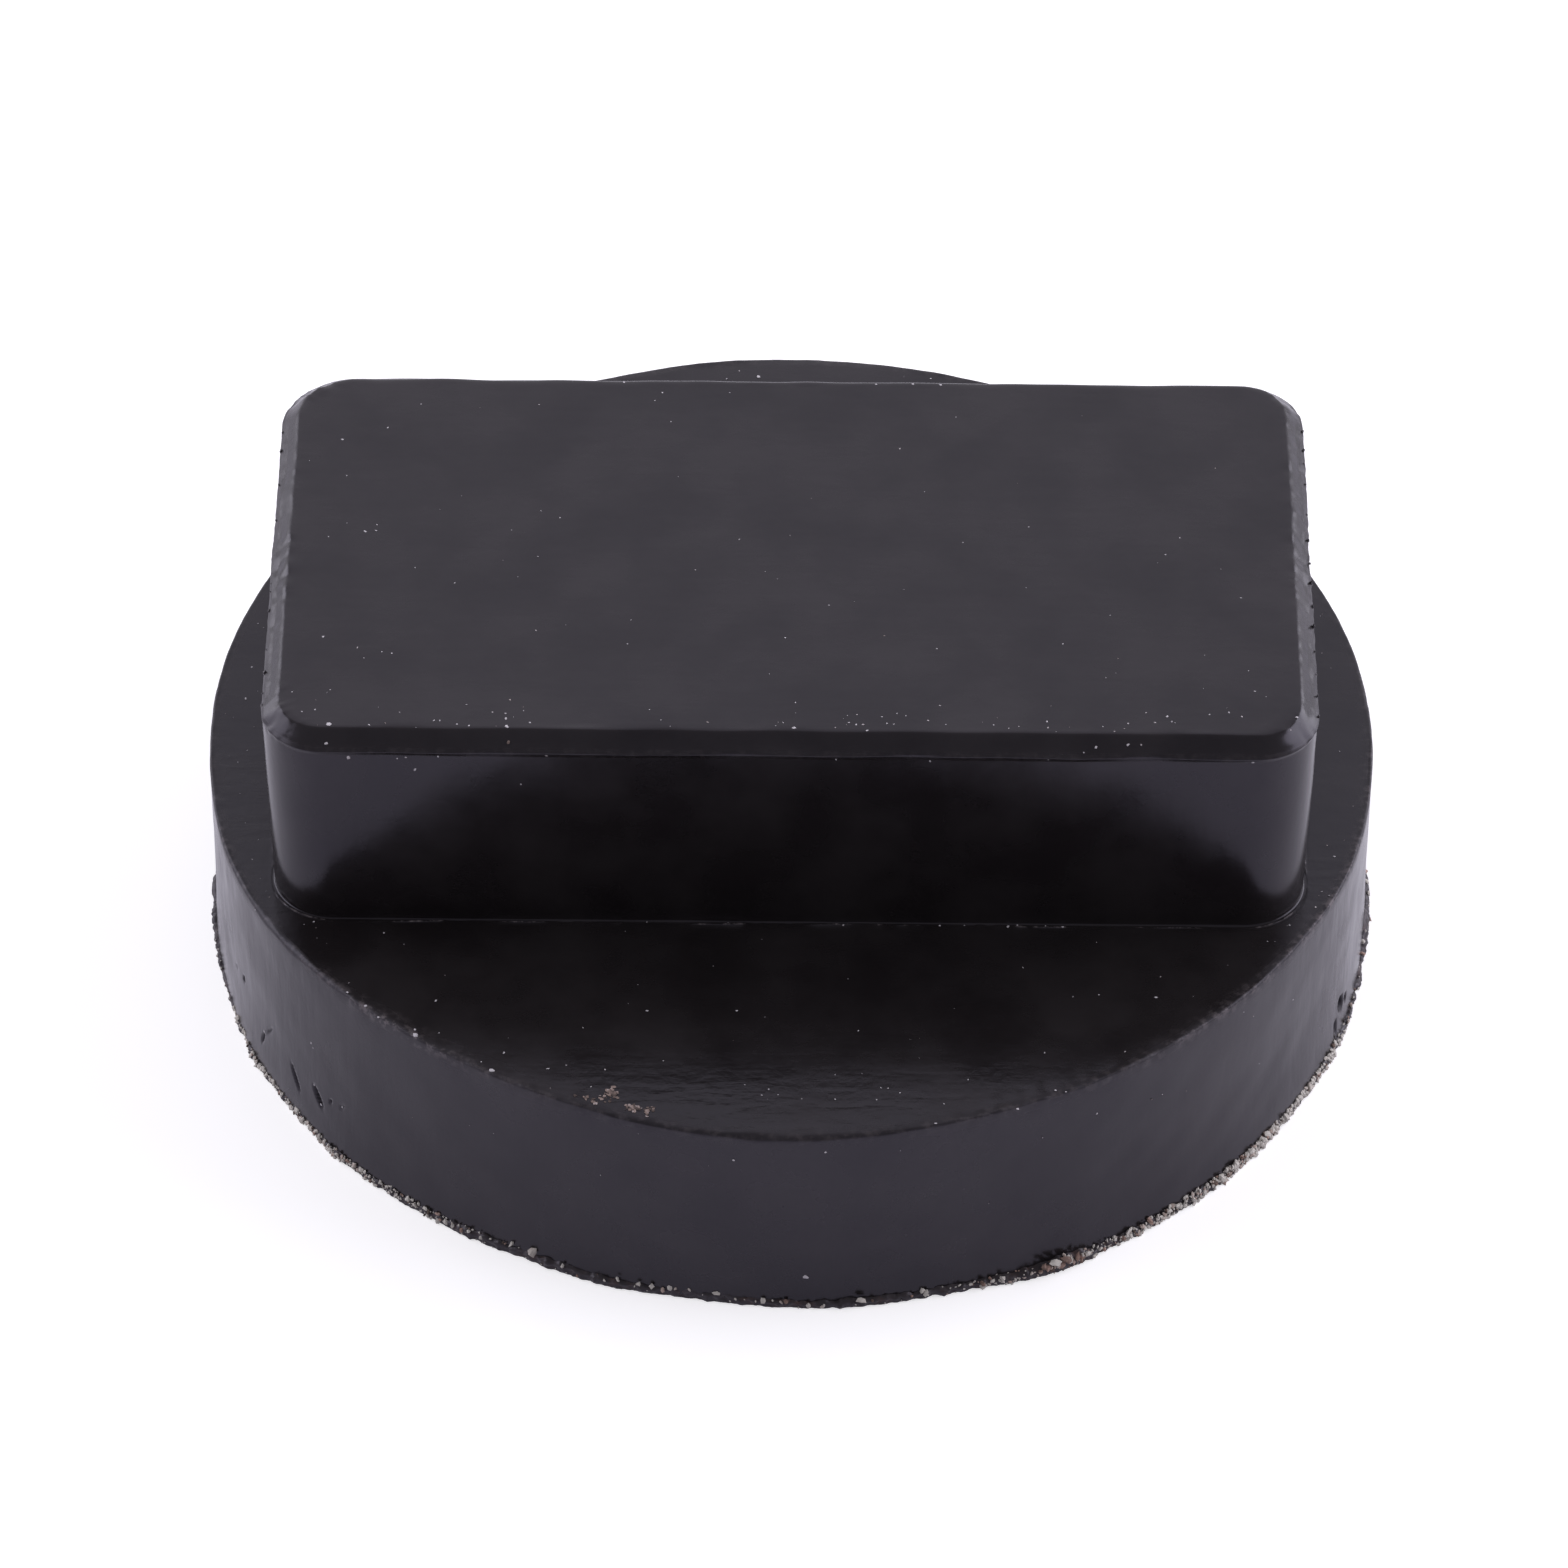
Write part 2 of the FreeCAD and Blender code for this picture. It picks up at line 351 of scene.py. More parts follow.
def edge_round(angle):
    """Rounding of the shoulder's edge, wider where it is worn."""
    return (EDGE_ROUND + humps(angle, EDGE_WORN)) * (1 + layered(ring_noise, angle, EDGE_UNEVEN))


def rings(table):
    """The columns of a section's table, each stood upright with one value for each ring."""
    return np.array(table).T[..., None]


# Each zone of the skin gives the radius and the height of its rings: a row for each ring, and a column
# for each direction.
UNDERSIDE_RINGS = (0.15, 0.45, 0.75, 0.95)
UNDERSIDE_INSET = 0.25


def underside(angle):
    """Flat rings from near the centre out to the rounded lower edge."""
    radius = rings(UNDERSIDE_RINGS) * (wall_radius(angle) - UNDERSIDE_INSET)
    return radius, np.zeros_like(radius)


LOWER_ROUND = 0.2
LOWER_TURNS = (0.0, 45.0, 90.0)


def lower_edge(angle):
    """A small quarter round from the underside to the wall, behind the flash."""
    t = np.radians(rings(LOWER_TURNS))
    height = LOWER_ROUND * (1 - np.cos(t)) + 0 * angle
    radius = wall_radius(angle) + foot_flare(angle, height) - LOWER_ROUND * (1 - np.sin(t))
    return radius, height


WALL_RINGS = 36
WALL_LOW = 0.35
# The wall ends this many roundings under the shoulder.
WALL_ENDS = 1.15
NICKED_BAND = (1.3, 5.1)
NICKED_CROWDING = 2.4
BAND_STEPS = 400


def puck_wall(angle):
    """The upright wall, whose rings stand closer together in the nicked band: its radius runs evenly
    from the wall's to the edge's, and its foot flares out."""
    fine = np.linspace(0, PUCK_THICK, BAND_STEPS)
    crowding = NICKED_CROWDING * ((fine > NICKED_BAND[0]) & (fine < NICKED_BAND[1]))
    t = rings(share_out(1 + crowding, WALL_RINGS))
    t = t / t[-1]
    high = PUCK_THICK - WALL_ENDS * edge_round(angle)
    height = WALL_LOW + (high - WALL_LOW) * t
    radius = wall_radius(angle) * (1 - t) + traced(angle, EDGE_TRACE) * t
    return radius + foot_flare(angle, height), height


EDGE_TURNS = (9.0, 27.0, 45.0, 63.0, 81.0)


def puck_edge(angle):
    """A quarter round from the wall over to the shoulder."""
    t = np.radians(rings(EDGE_TURNS))
    rounding = edge_round(angle)
    radius = traced(angle, EDGE_TRACE) - rounding * (1 - np.cos(t))
    return radius, PUCK_THICK - rounding * (1 - np.sin(t))


WITNESS_HALF = 0.07
WITNESS_RISE = 0.05
# The witness line's section, from outside in: half widths out and share of its rise.
WITNESS_SECTION = ((2.0, 0.0), (1.5, 0.7), (1.0, 1.0), (0.5, 0.7), (0.0, 0.0))
# Its mean share of the rise, how it breaks off and wanders, and the limits it is held in.
WITNESS_MEAN = 0.1
WITNESS_BROKEN = ((0.7, 4.5, 9), (0.35, 1.1, 10))
WITNESS_LIMITS = (-0.15, 1.0)
WITNESS_WANDER = ((0.03, 4.0, 11),)
# Where the witness line stands up more than elsewhere: direction, half width in degrees, extra share.
WITNESS_PROUD = (
    (209.5, 2.2, 1.0),
    (330.5, 2.5, 1.2),
)


SHOULDER_RINGS = (0.005, 0.03, 0.09, 0.18, 0.32, 0.47, 0.62, 0.77, 0.89, 0.97)
# The shoulder starts this many roundings in from the edge, and ends this many half widths of the
# witness line out from the block's foot.
SHOULDER_STARTS = 1.1
SHOULDER_ENDS = 2.5


def shoulder(angle):
    """The flat shoulder: rings that change from the puck's circle into the block's outline."""
    outer = traced(angle, EDGE_TRACE) - SHOULDER_STARTS * edge_round(angle)
    inner = block_outline(angle, FOOT_FILLET + SHOULDER_ENDS * WITNESS_HALF, 1.0)
    radius = outer + (inner - outer) * rings(SHOULDER_RINGS)
    return radius, np.full_like(radius, PUCK_THICK)


def witness_line(angle):
    """The thin broken ridge that the mould leaves round the block's foot."""
    out, rise = rings(WITNESS_SECTION)
    broken = WITNESS_MEAN + layered(outline_noise, angle, WITNESS_BROKEN)
    whole = np.clip(broken, *WITNESS_LIMITS) + humps(angle, WITNESS_PROUD)
    wander = layered(outline_noise, angle, WITNESS_WANDER)
    radius = block_outline(angle, FOOT_FILLET + WITNESS_HALF * out, 1.0) + wander * (out > 0)
    return radius, PUCK_THICK + WITNESS_RISE * rise * whole


FOOT_TURNS = (22.5, 45.0, 67.5, 90.0)


def foot_fillet(angle):
    """The hollow quarter round between the shoulder and the block's wall."""
    t = np.radians(rings(FOOT_TURNS))
    radius = block_outline(angle, FOOT_FILLET * (1 - np.sin(t)), 1.0)
    return radius, PUCK_THICK + FOOT_FILLET * (1 - np.cos(t)) + 0 * radius


BLOCK_WALL_RINGS = (0.03, 0.1, 0.2, 0.32, 0.44, 0.56, 0.68, 0.79, 0.88, 0.945, 0.975)


def block_wall(angle):
    """The block's wall, which leans out from its foot to the parting line."""
    t = rings(BLOCK_WALL_RINGS)
    low = PUCK_THICK + FOOT_FILLET
    radius = block_outline(angle, 0.0, 1 - t)
    return radius, low + (PARTING_RISE - low) * t + 0 * radius


PARTING_LIP = 0.06
# The parting line's section, from below: lips out and millimetres up. Its mean share of the lip, how
# that varies and wanders, and the limits it is held in.
PARTING_SECTION = (
    (0.0, -0.16), (0.9, -0.07), (1.0, 0.0), (0.3, 0.04), (-0.9, 0.07), (-1.6, 0.12),
)
PARTING_MEAN = 0.75
PARTING_UNEVEN = ((0.25, 7.0, 12),)
PARTING_LIMITS = (0.2, 1.3)
PARTING_WANDER = ((0.02, 6.0, 13),)


def parting_line(angle):
    """The lip at the block's widest line, where the mould's halves met, with a groove over it."""
    out, rise = rings(PARTING_SECTION)
    whole = np.clip(PARTING_MEAN + layered(outline_noise, angle, PARTING_UNEVEN), *PARTING_LIMITS)
    radius = block_outline(angle, PARTING_LIP * out * whole)
    return radius, PARTING_RISE + rise + layered(outline_noise, angle, PARTING_WANDER)


# The chamfer's section, from the parting line up: millimetres out and up.
CHAMFER_SECTION = (
    (-0.24, 0.22), (-0.45, 0.43), (-0.68, 0.65), (-0.82, 0.775), (-0.9, 0.83), (-0.99, 0.855),
)
CHAMFER_WANDER = ((0.015, 6.0, 15),)


def top_chamfer(angle):
    """The chamfer from the parting line to the top face, eased at its upper edge."""
    out, rise = rings(CHAMFER_SECTION)
    radius = block_outline(angle, out + layered(outline_noise, angle, CHAMFER_WANDER))
    return radius, np.minimum(PARTING_RISE + rise, TOP_LEVEL) + 0 * radius


TOP_RINGS = (0.99, 0.97, 0.93, 0.87, 0.78, 0.66, 0.52, 0.37, 0.22, 0.09)
TOP_INSET = 0.12


def top_face(angle):
    """Rings that shrink from the chamfer's upper edge towards the centre."""
    radius = rings(TOP_RINGS) * block_outline(angle, -TOP_CHAMFER - TOP_INSET)
    return radius, np.full_like(radius, TOP_LEVEL)


# Cuts and pits in the puck's wall: direction, height, length, width, depth, and the tilt in degrees
# of the cut's long axis from upright, clockwise as seen from outside.
NICKS = (
    (213.5, 2.6, 1.4, 0.2, 0.26, -34.0),
    (217.4, 2.85, 1.15, 0.29, 0.42, -41.0),
    (206.9, 2.5, 0.9, 0.2, 0.16, 19.0),
    (208.4, 3.7, 1.1, 0.18, 0.09, 40.0),
    (201.9, 4.4, 0.34, 0.24, 0.22, 0.0),
    (199.7, 4.15, 0.24, 0.2, 0.16, 0.0),
    (216.4, 6.2, 0.4, 0.18, 0.16, 10.0),
    (340.0, 2.4, 0.65, 0.8, 0.6, 48.0),
    (338.3, 1.66, 0.45, 0.38, 0.26, 80.0),
    (341.6, 2.05, 0.4, 0.4, 0.2, 0.0),
    (221.1, 3.6, 0.3, 0.16, 0.12, 60.0),
    (219.4, 3.3, 0.24, 0.18, 0.2, 0.0),
)
# Depth, in millimetres, at which the painted shade inside a cut reaches full strength.
CUT_SHADE_FULL_DEPTH = 0.15


def nick_depth(angle, height):
    """Depth of the wall's nicks: each is exp(-(u^2 + v^2)^2) in its own long and short axes."""
    depth = np.zeros_like(height)
    for direction, level, length, width, deep, tilt in NICKS:
        right = np.radians(turn_from(angle, direction)) * PUCK_RADIUS
        above = height - level
        c = math.cos(math.radians(tilt))
        s = math.sin(math.radians(tilt))
        u = (above * c + right * s) / (length / 2)
        v = (right * c - above * s) / (width / 2)
        depth = np.maximum(depth, deep * np.exp(-(u * u + v * v) ** 2))
    return depth


# The skin's zones, from the underside's centre over the wall to the top's centre.
ZONES = (
    underside, lower_edge, puck_wall, puck_edge, shoulder, witness_line, foot_fillet, block_wall,
    parting_line, top_chamfer, top_face,
)
# The unevenness of the walls, which starts and is full at these heights, and the crumbs of the
# chipped edges with their mean: layers of height or share, size and seed.
SKIN_UNEVEN = ((0.014, 8.0, 20), (0.006, 2.6, 21))
UNEVEN_STARTS, UNEVEN_FULL = 0.2, 1.0
CHIP_CRUMBS = ((1.0, 0.55, 22), (0.6, 0.27, 23))
CHIP_MEAN = -0.3
# Marks along the shoulder's edge fade over this distance inwards and downwards.
EDGE_BAND_IN = 0.35
EDGE_BAND_DOWN = 0.3
# Where hands and cloths have scuffed the puck: direction, half width in degrees, share. On the
# shoulder this starts and is full at these radii, and it ends this far above the shoulder.
HANDLED = (
    (192.0, 11.0, 0.6),
    (214.0, 8.0, 0.4),
    (268.0, 22.0, 0.75),
    (338.0, 8.0, 0.5),
)
HANDLED_STARTS, HANDLED_FULL = 25.5, 29.0
HANDLED_OVER = 0.5
# Shares by which the parting line looks worn and takes the pale line of dust and painted highlight,
# and of the witness line's rise above which its crest takes that line too.
PARTING_WORN = 0.3
PARTING_DUST_AND_HIGHLIGHT = 0.1
WITNESS_DUST_AND_HIGHLIGHT_FROM = 0.4


def grid_normals(points):
    """Unit normals of a grid of points that closes on itself along its columns."""
    along = np.roll(points, -1, 1) - np.roll(points, 1, 1)
    up = np.gradient(points, axis=0)
    normal = np.cross(along, up)
    return normal / np.maximum(np.linalg.norm(normal, axis=-1, keepdims=True), TINY)


def in_box(points):
    """Keeps points inside the solid's box."""
    reach = BOX_REACH - BOX_GAP
    return np.clip(points, (-reach, -reach, 0.0), (reach, reach, PAD_RISE))


def rows_of(parts, *zones):
    """A column that is true in the rows of the named zones."""
    return np.repeat([zone in zones for zone in ZONES], [len(radius) for radius, _ in parts])[:, None]


def skin_grid():
    """The whole skin as a grid of points, a row for each ring, and the marks on it as shares. Walls
    are pushed along their normals by smooth noise, and chipped edges by crumbs."""
    angle = column_angles()
    parts = [zone(angle) for zone in ZONES]
    radius, height = (np.vstack(rows) for rows in zip(*parts))
    cut = rows_of(parts, puck_wall) * nick_depth(angle, height)
    radius = radius - cut
    points = round_points(radius, angle, height)
    flat = rows_of(parts, underside, shoulder, top_face)
    seen = ramp(height, UNEVEN_STARTS, UNEVEN_FULL) * ~flat
    on_edge = np.exp(-((height - PUCK_THICK) / EDGE_BAND_DOWN) ** 2)
    on_edge = on_edge * np.exp(-((radius - traced(angle, EDGE_TRACE)) / EDGE_BAND_IN) ** 2)
    chipped = on_edge * (EDGE_CHIPPED_LEAST + humps(angle, EDGE_CHIPPED))
    chipped = chipped + rows_of(parts, parting_line, top_chamfer) * humps(angle, BLOCK_CHIPPED)
    crumbs = layered(crumb_noise, points, CHIP_CRUMBS) + CHIP_MEAN
    push = seen * layered(wave_noise, points, SKIN_UNEVEN) + chipped * crumbs
    points = in_box(points + grid_normals(points) * push[..., None])
    on_parting = rows_of(parts, parting_line)
    on_witness = height > PUCK_THICK + WITNESS_DUST_AND_HIGHLIGHT_FROM * WITNESS_RISE
    on_witness = on_witness & rows_of(parts, witness_line)
    handled = humps(angle, HANDLED) * ramp(radius, HANDLED_STARTS, HANDLED_FULL)
    # The pale line along the edges, partly dust and partly painted highlight; the parting line and the
    # witness line's crest take it too.
    dusty = on_edge * (EDGE_DUST_AND_HIGHLIGHT_LEAST + humps(angle, EDGE_DUST_AND_HIGHLIGHT))
    marks = {
        "worn": on_edge + PARTING_WORN * on_parting,
        "dusty": dusty + PARTING_DUST_AND_HIGHLIGHT * on_parting + on_witness,
        "handled": handled * (height < PUCK_THICK + HANDLED_OVER),
        # The cut's share roughens the nicks and paints shade into their colour, darker with depth.
        "cut": cut / CUT_SHADE_FULL_DEPTH,
    }
    return points, marks


def mesh_object(name, points, faces, material, attributes=(), smooth=True):
    """A mesh in metres from points in millimetres, with its material and float attributes."""
    mesh = bpy.data.meshes.new(name)
    mesh.from_pydata((np.asarray(points).reshape(-1, 3) * MM).tolist(), [], faces)
    mesh.polygons.foreach_set("use_smooth", np.full(len(mesh.polygons), smooth))
    for label, values in attributes:
        layer = mesh.attributes.new(label, "FLOAT", "POINT")
        layer.data.foreach_set("value", np.asarray(values, np.float32).ravel())
    mesh.materials.append(material)
    mesh.update()
    piece = bpy.data.objects.new(name, mesh)
    bpy.context.scene.collection.objects.link(piece)
    return piece


def grid_index(points):
    """The vertex numbers of a grid of points."""
    rows, columns = points.shape[:2]
    return np.arange(rows * columns).reshape(rows, columns)


def band_faces(lower, upper):
    """Quads between rings of vertices and the rings above them, which close round the pad."""
    corners = [lower, np.roll(lower, -1, 1), np.roll(upper, -1, 1), upper]
    return np.stack(corners, -1).reshape(-1, 4).tolist()


def build_skin(material):
    """The pad's one moulded skin: quads that close round the columns, and a fan at each pole."""
    points, marks = skin_grid()
    index = grid_index(points)
    following = np.roll(index, -1, 1)
    low_pole = np.full(len(index[0]), index.size)
    low = np.stack([following[0], index[0], low_pole], -1)
    high = np.stack([index[-1], following[-1], low_pole + 1], -1)
    faces = band_faces(index[:-1], index[1:]) + low.tolist() + high.tolist()
    corners = np.vstack([points.reshape(-1, 3), (0.0, 0.0, 0.0), (0.0, 0.0, TOP_LEVEL)])
    marks = [(label, np.append(np.clip(values, 0, 1), [0.0, 0.0])) for label, values in marks.items()]
    return mesh_object("jack_pad_skin", corners, faces, material, marks)


FLASH_COLUMNS = 2600
# Places where the torn flash stands higher or lower: direction, half width in degrees, millimetres.
FLASH_TALL = (
    (190.0, 16.0, -0.28),
    (216.0, 9.0, -0.14),
    (248.0, 6.0, 0.12),
    (297.0, 3.0, 0.3),
    (318.0, 12.0, 0.04),
    (346.0, 5.0, -0.2),
    (354.5, 2.6, 1.1),
)
FLASH_WANDER = ((0.05, 9.0, 4), (0.04, 1.1, 5))
FLASH_TEARS = ((0.025, 2.6, 1), (0.03, 0.8, 2))
FLASH_LEAST = 0.06
# The flash's section, once round from inside the wall: out to the cut as a share, or millimetres into
# the wall below 0, and the share of its height.
FLASH_SECTION = (
    (-0.35, 0.0), (0.0, 0.0), (0.55, 0.0), (0.9, 0.03), (1.0, 0.12), (0.98, 0.24), (1.0, 0.36),
    (0.96, 0.48), (1.0, 0.6), (0.93, 0.72), (0.8, 0.84), (0.55, 0.93), (0.28, 1.0), (0.05, 1.0),
    (-0.1, 0.9), (-0.35, 0.8),
)
# Its crumbs and their mean, the shares of the section over which they start and turn from outwards to
# upwards, the depth of a gap that holds brown dust, and the crumbs' heights at which grit shows.
FLASH_CRUMBS = ((0.05, 0.42, 30), (0.06, 0.2, 31), (0.05, 0.11, 32))
FLASH_CRUMB_MEAN = -0.02
CRUMBS_FULL_OUT, CRUMBS_FULL_UP = 1 / 3, 1 / 12
TURN_STARTS, TURN_ENDS = 0.5, 1.125
GAP_DEPTH = 0.09
GRITTY_SHARE = 0.6
GRITTY_STARTS, GRITTY_FULL = -0.024, 0.056
# How thickly grit sits in the flash: direction, half width in degrees, weight.
GRIT_DENSITY = (
    (206.0, 8.0, 0.8),
    (221.0, 8.0, 1.2),
    (234.0, 6.0, 0.5),
    (290.0, 4.0, 0.5),
    (306.0, 8.0, 1.4),
    (319.0, 9.0, 2.3),
    (332.0, 7.0, 1.7),
)


def flash_top(angle):
    """Height of the flash band, which wanders and is torn."""
    return FLASH_THICK + humps(angle, FLASH_TALL) + layered(ring_noise, angle, FLASH_WANDER)


def flash_edge(angle):
    """Outer radius of the flash: the traced cut with small tears along it."""
    cut = traced(angle, FLASH_TRACE) + layered(ring_noise, angle, FLASH_TEARS)
    return np.maximum(cut, wall_radius(angle) + FLASH_LEAST)


def build_flash(material):
    """The trimmed flash: a closed ring, whose section goes out along the underside, up the torn face
    and back into the wall. Coarse and fine crumbs push its seen faces in and out."""
    angle = np.linspace(0, TAU, FLASH_COLUMNS, endpoint=False)
    out, up = rings(FLASH_SECTION)
    wall = wall_radius(angle)
    radius = wall + np.where(out > 0, (flash_edge(angle) - wall) * out, out)
    points = round_points(radius, angle, flash_top(angle) * up)
    turned = ramp(up, TURN_STARTS, TURN_ENDS)
    push = round_points(1 - turned, angle, turned)
    crumbs = layered(crumb_noise, points, FLASH_CRUMBS) + FLASH_CRUMB_MEAN
    torn = ramp(out, 0, CRUMBS_FULL_OUT) * ramp(up, 0, CRUMBS_FULL_UP)
    points = in_box(points + push * (crumbs * torn)[..., None])
    gritty = np.clip(GRITTY_SHARE * humps(angle, GRIT_DENSITY), 0, 1)
    marks = [
        ("gap", ramp(-crumbs, 0, GAP_DEPTH)),
        ("gritty", gritty * ramp(crumbs, GRITTY_STARTS, GRITTY_FULL)),
    ]
    index = grid_index(points)
    faces = band_faces(index, np.roll(index, -1, 0))
    return mesh_object("trimmed_flash", points, faces, material, marks)


GOLDEN = (1 + math.sqrt(5)) / 2
LUMP_CORNERS = np.array([
    (-1, GOLDEN, 0), (1, GOLDEN, 0), (-1, -GOLDEN, 0), (1, -GOLDEN, 0), (0, -1, GOLDEN),
    (0, 1, GOLDEN), (0, -1, -GOLDEN), (0, 1, -GOLDEN), (GOLDEN, 0, -1), (GOLDEN, 0, 1),
    (-GOLDEN, 0, -1), (-GOLDEN, 0, 1),
]) / math.hypot(1, GOLDEN)
LUMP_FACES = np.array([
    (0, 11, 5), (0, 5, 1), (0, 1, 7), (0, 7, 10), (0, 10, 11), (1, 5, 9), (5, 11, 4), (11, 10, 2),
    (10, 7, 6), (7, 1, 8), (3, 9, 4), (3, 4, 2), (3, 2, 6), (3, 6, 8), (3, 8, 9), (4, 9, 5),
    (2, 4, 11), (6, 2, 10), (8, 6, 7), (9, 8, 1),
])


# Shares by which a lump's corners are drawn in or out, and by which it is stretched along the surface
# and across that. A lump whose normal leans up more than this starts its turn from X instead of up.
LUMP_UNEVEN = (0.6, 1.35)
LUMP_LONG = (0.8, 1.5)
LUMP_WIDE = (0.7, 1.1)
LUMP_STEEP = 0.7


def lumps(name, centres, normals, radii, flatness, tones, material, seed):
    """Small uneven lumps: a twenty-sided ball at each centre, each corner drawn in or out at random,
    stretched along the surface and squashed along its normal, and turned at random about it."""
    draw = np.random.default_rng(SEED + seed)
    count = len(centres)
    ball = LUMP_CORNERS[None] * draw.uniform(*LUMP_UNEVEN, (count, len(LUMP_CORNERS), 1))
    stretch = np.stack([draw.uniform(*LUMP_LONG, count), draw.uniform(*LUMP_WIDE, count),
                        np.broadcast_to(flatness, count)], -1)
    ball = ball * (stretch * np.asarray(radii)[:, None])[:, None, :]
    helper = np.where(np.abs(normals[:, 2:3]) > LUMP_STEEP, [[1.0, 0.0, 0.0]], [[0.0, 0.0, 1.0]])
    first = np.cross(helper, normals)
    first /= np.linalg.norm(first, axis=1, keepdims=True)
    second = np.cross(normals, first)
    turn = draw.uniform(0, TAU, count)[:, None]
    along = first * np.cos(turn) + second * np.sin(turn)
    across = np.cross(normals, along)
    axes = np.stack([along, across, normals], 1)
    points = in_box(np.asarray(centres)[:, None, :] + ball @ axes)
    faces = (LUMP_FACES[None] + len(LUMP_CORNERS) * np.arange(count)[:, None, None]).reshape(-1, 3)
    tone = np.repeat(np.asarray(tones, float), len(LUMP_CORNERS))
    return mesh_object(name, points, faces.tolist(), material, [("tone", tone)], smooth=False)


GRIT_LEAST = 0.07
GRIT_COUNT = 1500
# How far grains stray along the rim, in radians; the shares of the flash's height between which they
# sit, past which they lie on its top, and how far they are sunk in, in millimetres.
GRIT_STRAY = 0.004
GRIT_CLIMB = (0.08, 1.3)
GRIT_ON_TOP = 0.85
GRIT_SUNK, SINGLE_SUNK = 0.015, 0.03
# Least, spread and power of the grains' radii in millimetres and of their tones, and where more are
# pink. Their normals lean out and up by these shares.
GRIT_SIZE = (0.04, 0.13, 2.5)
GRIT_TONE = (0.0, 1.0, 5)
GRIT_PINK = ((296.0, 4.0, 0.4),)
GRIT_OUT, GRIT_UP = 0.8, 0.6
LUMP_FLATNESS = 0.7
# Single grains that stand out: direction, height and radius in millimetres, and tone, which runs from
# white at 0 over pink at 0.5 to brown at 1.
GRIT_SINGLE = (
    (242.5, 0.75, 0.16, 0.1), (244.8, 0.8, 0.26, 0.25), (248.0, 0.55, 0.12, 0.1),
    (253.7, 0.7, 0.1, 0.2), (257.0, 0.6, 0.15, 0.1), (258.7, 0.6, 0.14, 0.15),
    (255.7, 0.62, 0.12, 0.2), (265.1, 0.35, 0.08, 0.0), (267.7, 0.45, 0.2, 0.15),
    (269.4, 0.4, 0.1, 0.3), (273.3, 0.2, 0.16, 0.3), (277.0, 0.6, 0.2, 0.2),
    (283.3, 0.4, 0.16, 0.1), (287.8, 0.35, 0.12, 0.1), (290.7, 0.5, 0.17, 0.0),
    (292.8, 0.3, 0.12, 0.4), (294.4, 0.5, 0.14, 0.7), (294.7, 0.8, 0.2, 0.75),
    (295.1, 0.65, 0.22, 0.6), (295.6, 0.45, 0.16, 0.85), (295.8, 0.85, 0.26, 0.1),
    (296.2, 0.6, 0.2, 0.3), (296.6, 0.5, 0.24, 0.65), (297.0, 0.78, 0.22, 0.75),
    (297.4, 0.6, 0.22, 0.1), (297.8, 0.45, 0.17, 0.5), (298.2, 0.7, 0.2, 0.6),
    (298.7, 0.5, 0.15, 0.55), (299.4, 0.5, 0.2, 0.2), (315.9, 0.5, 0.2, 0.0),
    (318.1, 0.55, 0.2, 0.05), (322.6, 0.5, 0.18, 0.1), (324.1, 0.55, 0.17, 0.05),
    (326.4, 0.5, 0.2, 0.0), (312.1, 0.4, 0.16, 0.1), (308.3, 0.3, 0.16, 0.3),
)


def build_grit(material):
    """Mineral grains in the flash: drawn round the rim by density, on its torn face and its top."""
    draw = np.random.default_rng(SEED + 40)
    fine = np.linspace(0, TAU, FINE_STEPS, endpoint=False)
    spread = TAU * share_out(GRIT_LEAST + humps(fine, GRIT_DENSITY), GRIT_COUNT)
    angle = spread + draw.normal(0, GRIT_STRAY, GRIT_COUNT)
    climb = draw.uniform(*GRIT_CLIMB, GRIT_COUNT)
    top = flash_top(angle)
    edge = flash_edge(angle)
    wall = wall_radius(angle) + foot_flare(angle, top)
    inward = ramp(climb, GRIT_ON_TOP, GRIT_CLIMB[1]) * np.maximum(edge - wall, 0.0)
    size = mostly_low(draw, GRIT_COUNT, *GRIT_SIZE)
    tone = np.clip(mostly_low(draw, GRIT_COUNT, *GRIT_TONE) + humps(angle, GRIT_PINK), 0, 1)
    grains = np.stack([angle, edge - GRIT_SUNK - inward, top * np.clip(climb, 0, 1), size, tone])
    direction, level, radius, shade = np.array(GRIT_SINGLE).T
    direction = np.radians(direction)
    singles = np.stack([direction, flash_edge(direction) - SINGLE_SUNK, level, radius, shade])
    angle, reach, height, size, tone = np.hstack([grains, singles])
    centres = round_points(reach, angle, height)
    normals = round_points(GRIT_OUT, angle, GRIT_UP)
    return lumps("mineral_grit", centres, normals, size, LUMP_FLATNESS, tone, material, 41)


# Crumbs of rubber left on the parting line at the block's two ends: the y on the left end, or on the
# right end, and the radius, in millimetres.
LEFT_BURRS = (
    (10.4, 0.1), (8.9, 0.13), (6.1, 0.07), (3.2, 0.08), (-1.9, 0.12), (-2.6, 0.08), (-4.1, 0.13),
    (-7.2, 0.07), (-9.0, 0.14), (-10.6, 0.09), (-11.6, 0.12),
)
RIGHT_BURRS = (
    (11.3, 0.12), (9.7, 0.15), (8.6, 0.08), (6.9, 0.09), (4.4, 0.07), (2.3, 0.1), (0.4, 0.08),
    (-1.2, 0.12), (-3.1, 0.09), (-4.6, 0.12), (-6.6, 0.08), (-8.4, 0.11), (-10.1, 0.08), (-11.7, 0.1),
)


# How much each crumb is lifted at most, and the steps per millimetre in which its place is mixed for
# that.
BURR_LIFT = 0.08
BURR_STEPS = 40


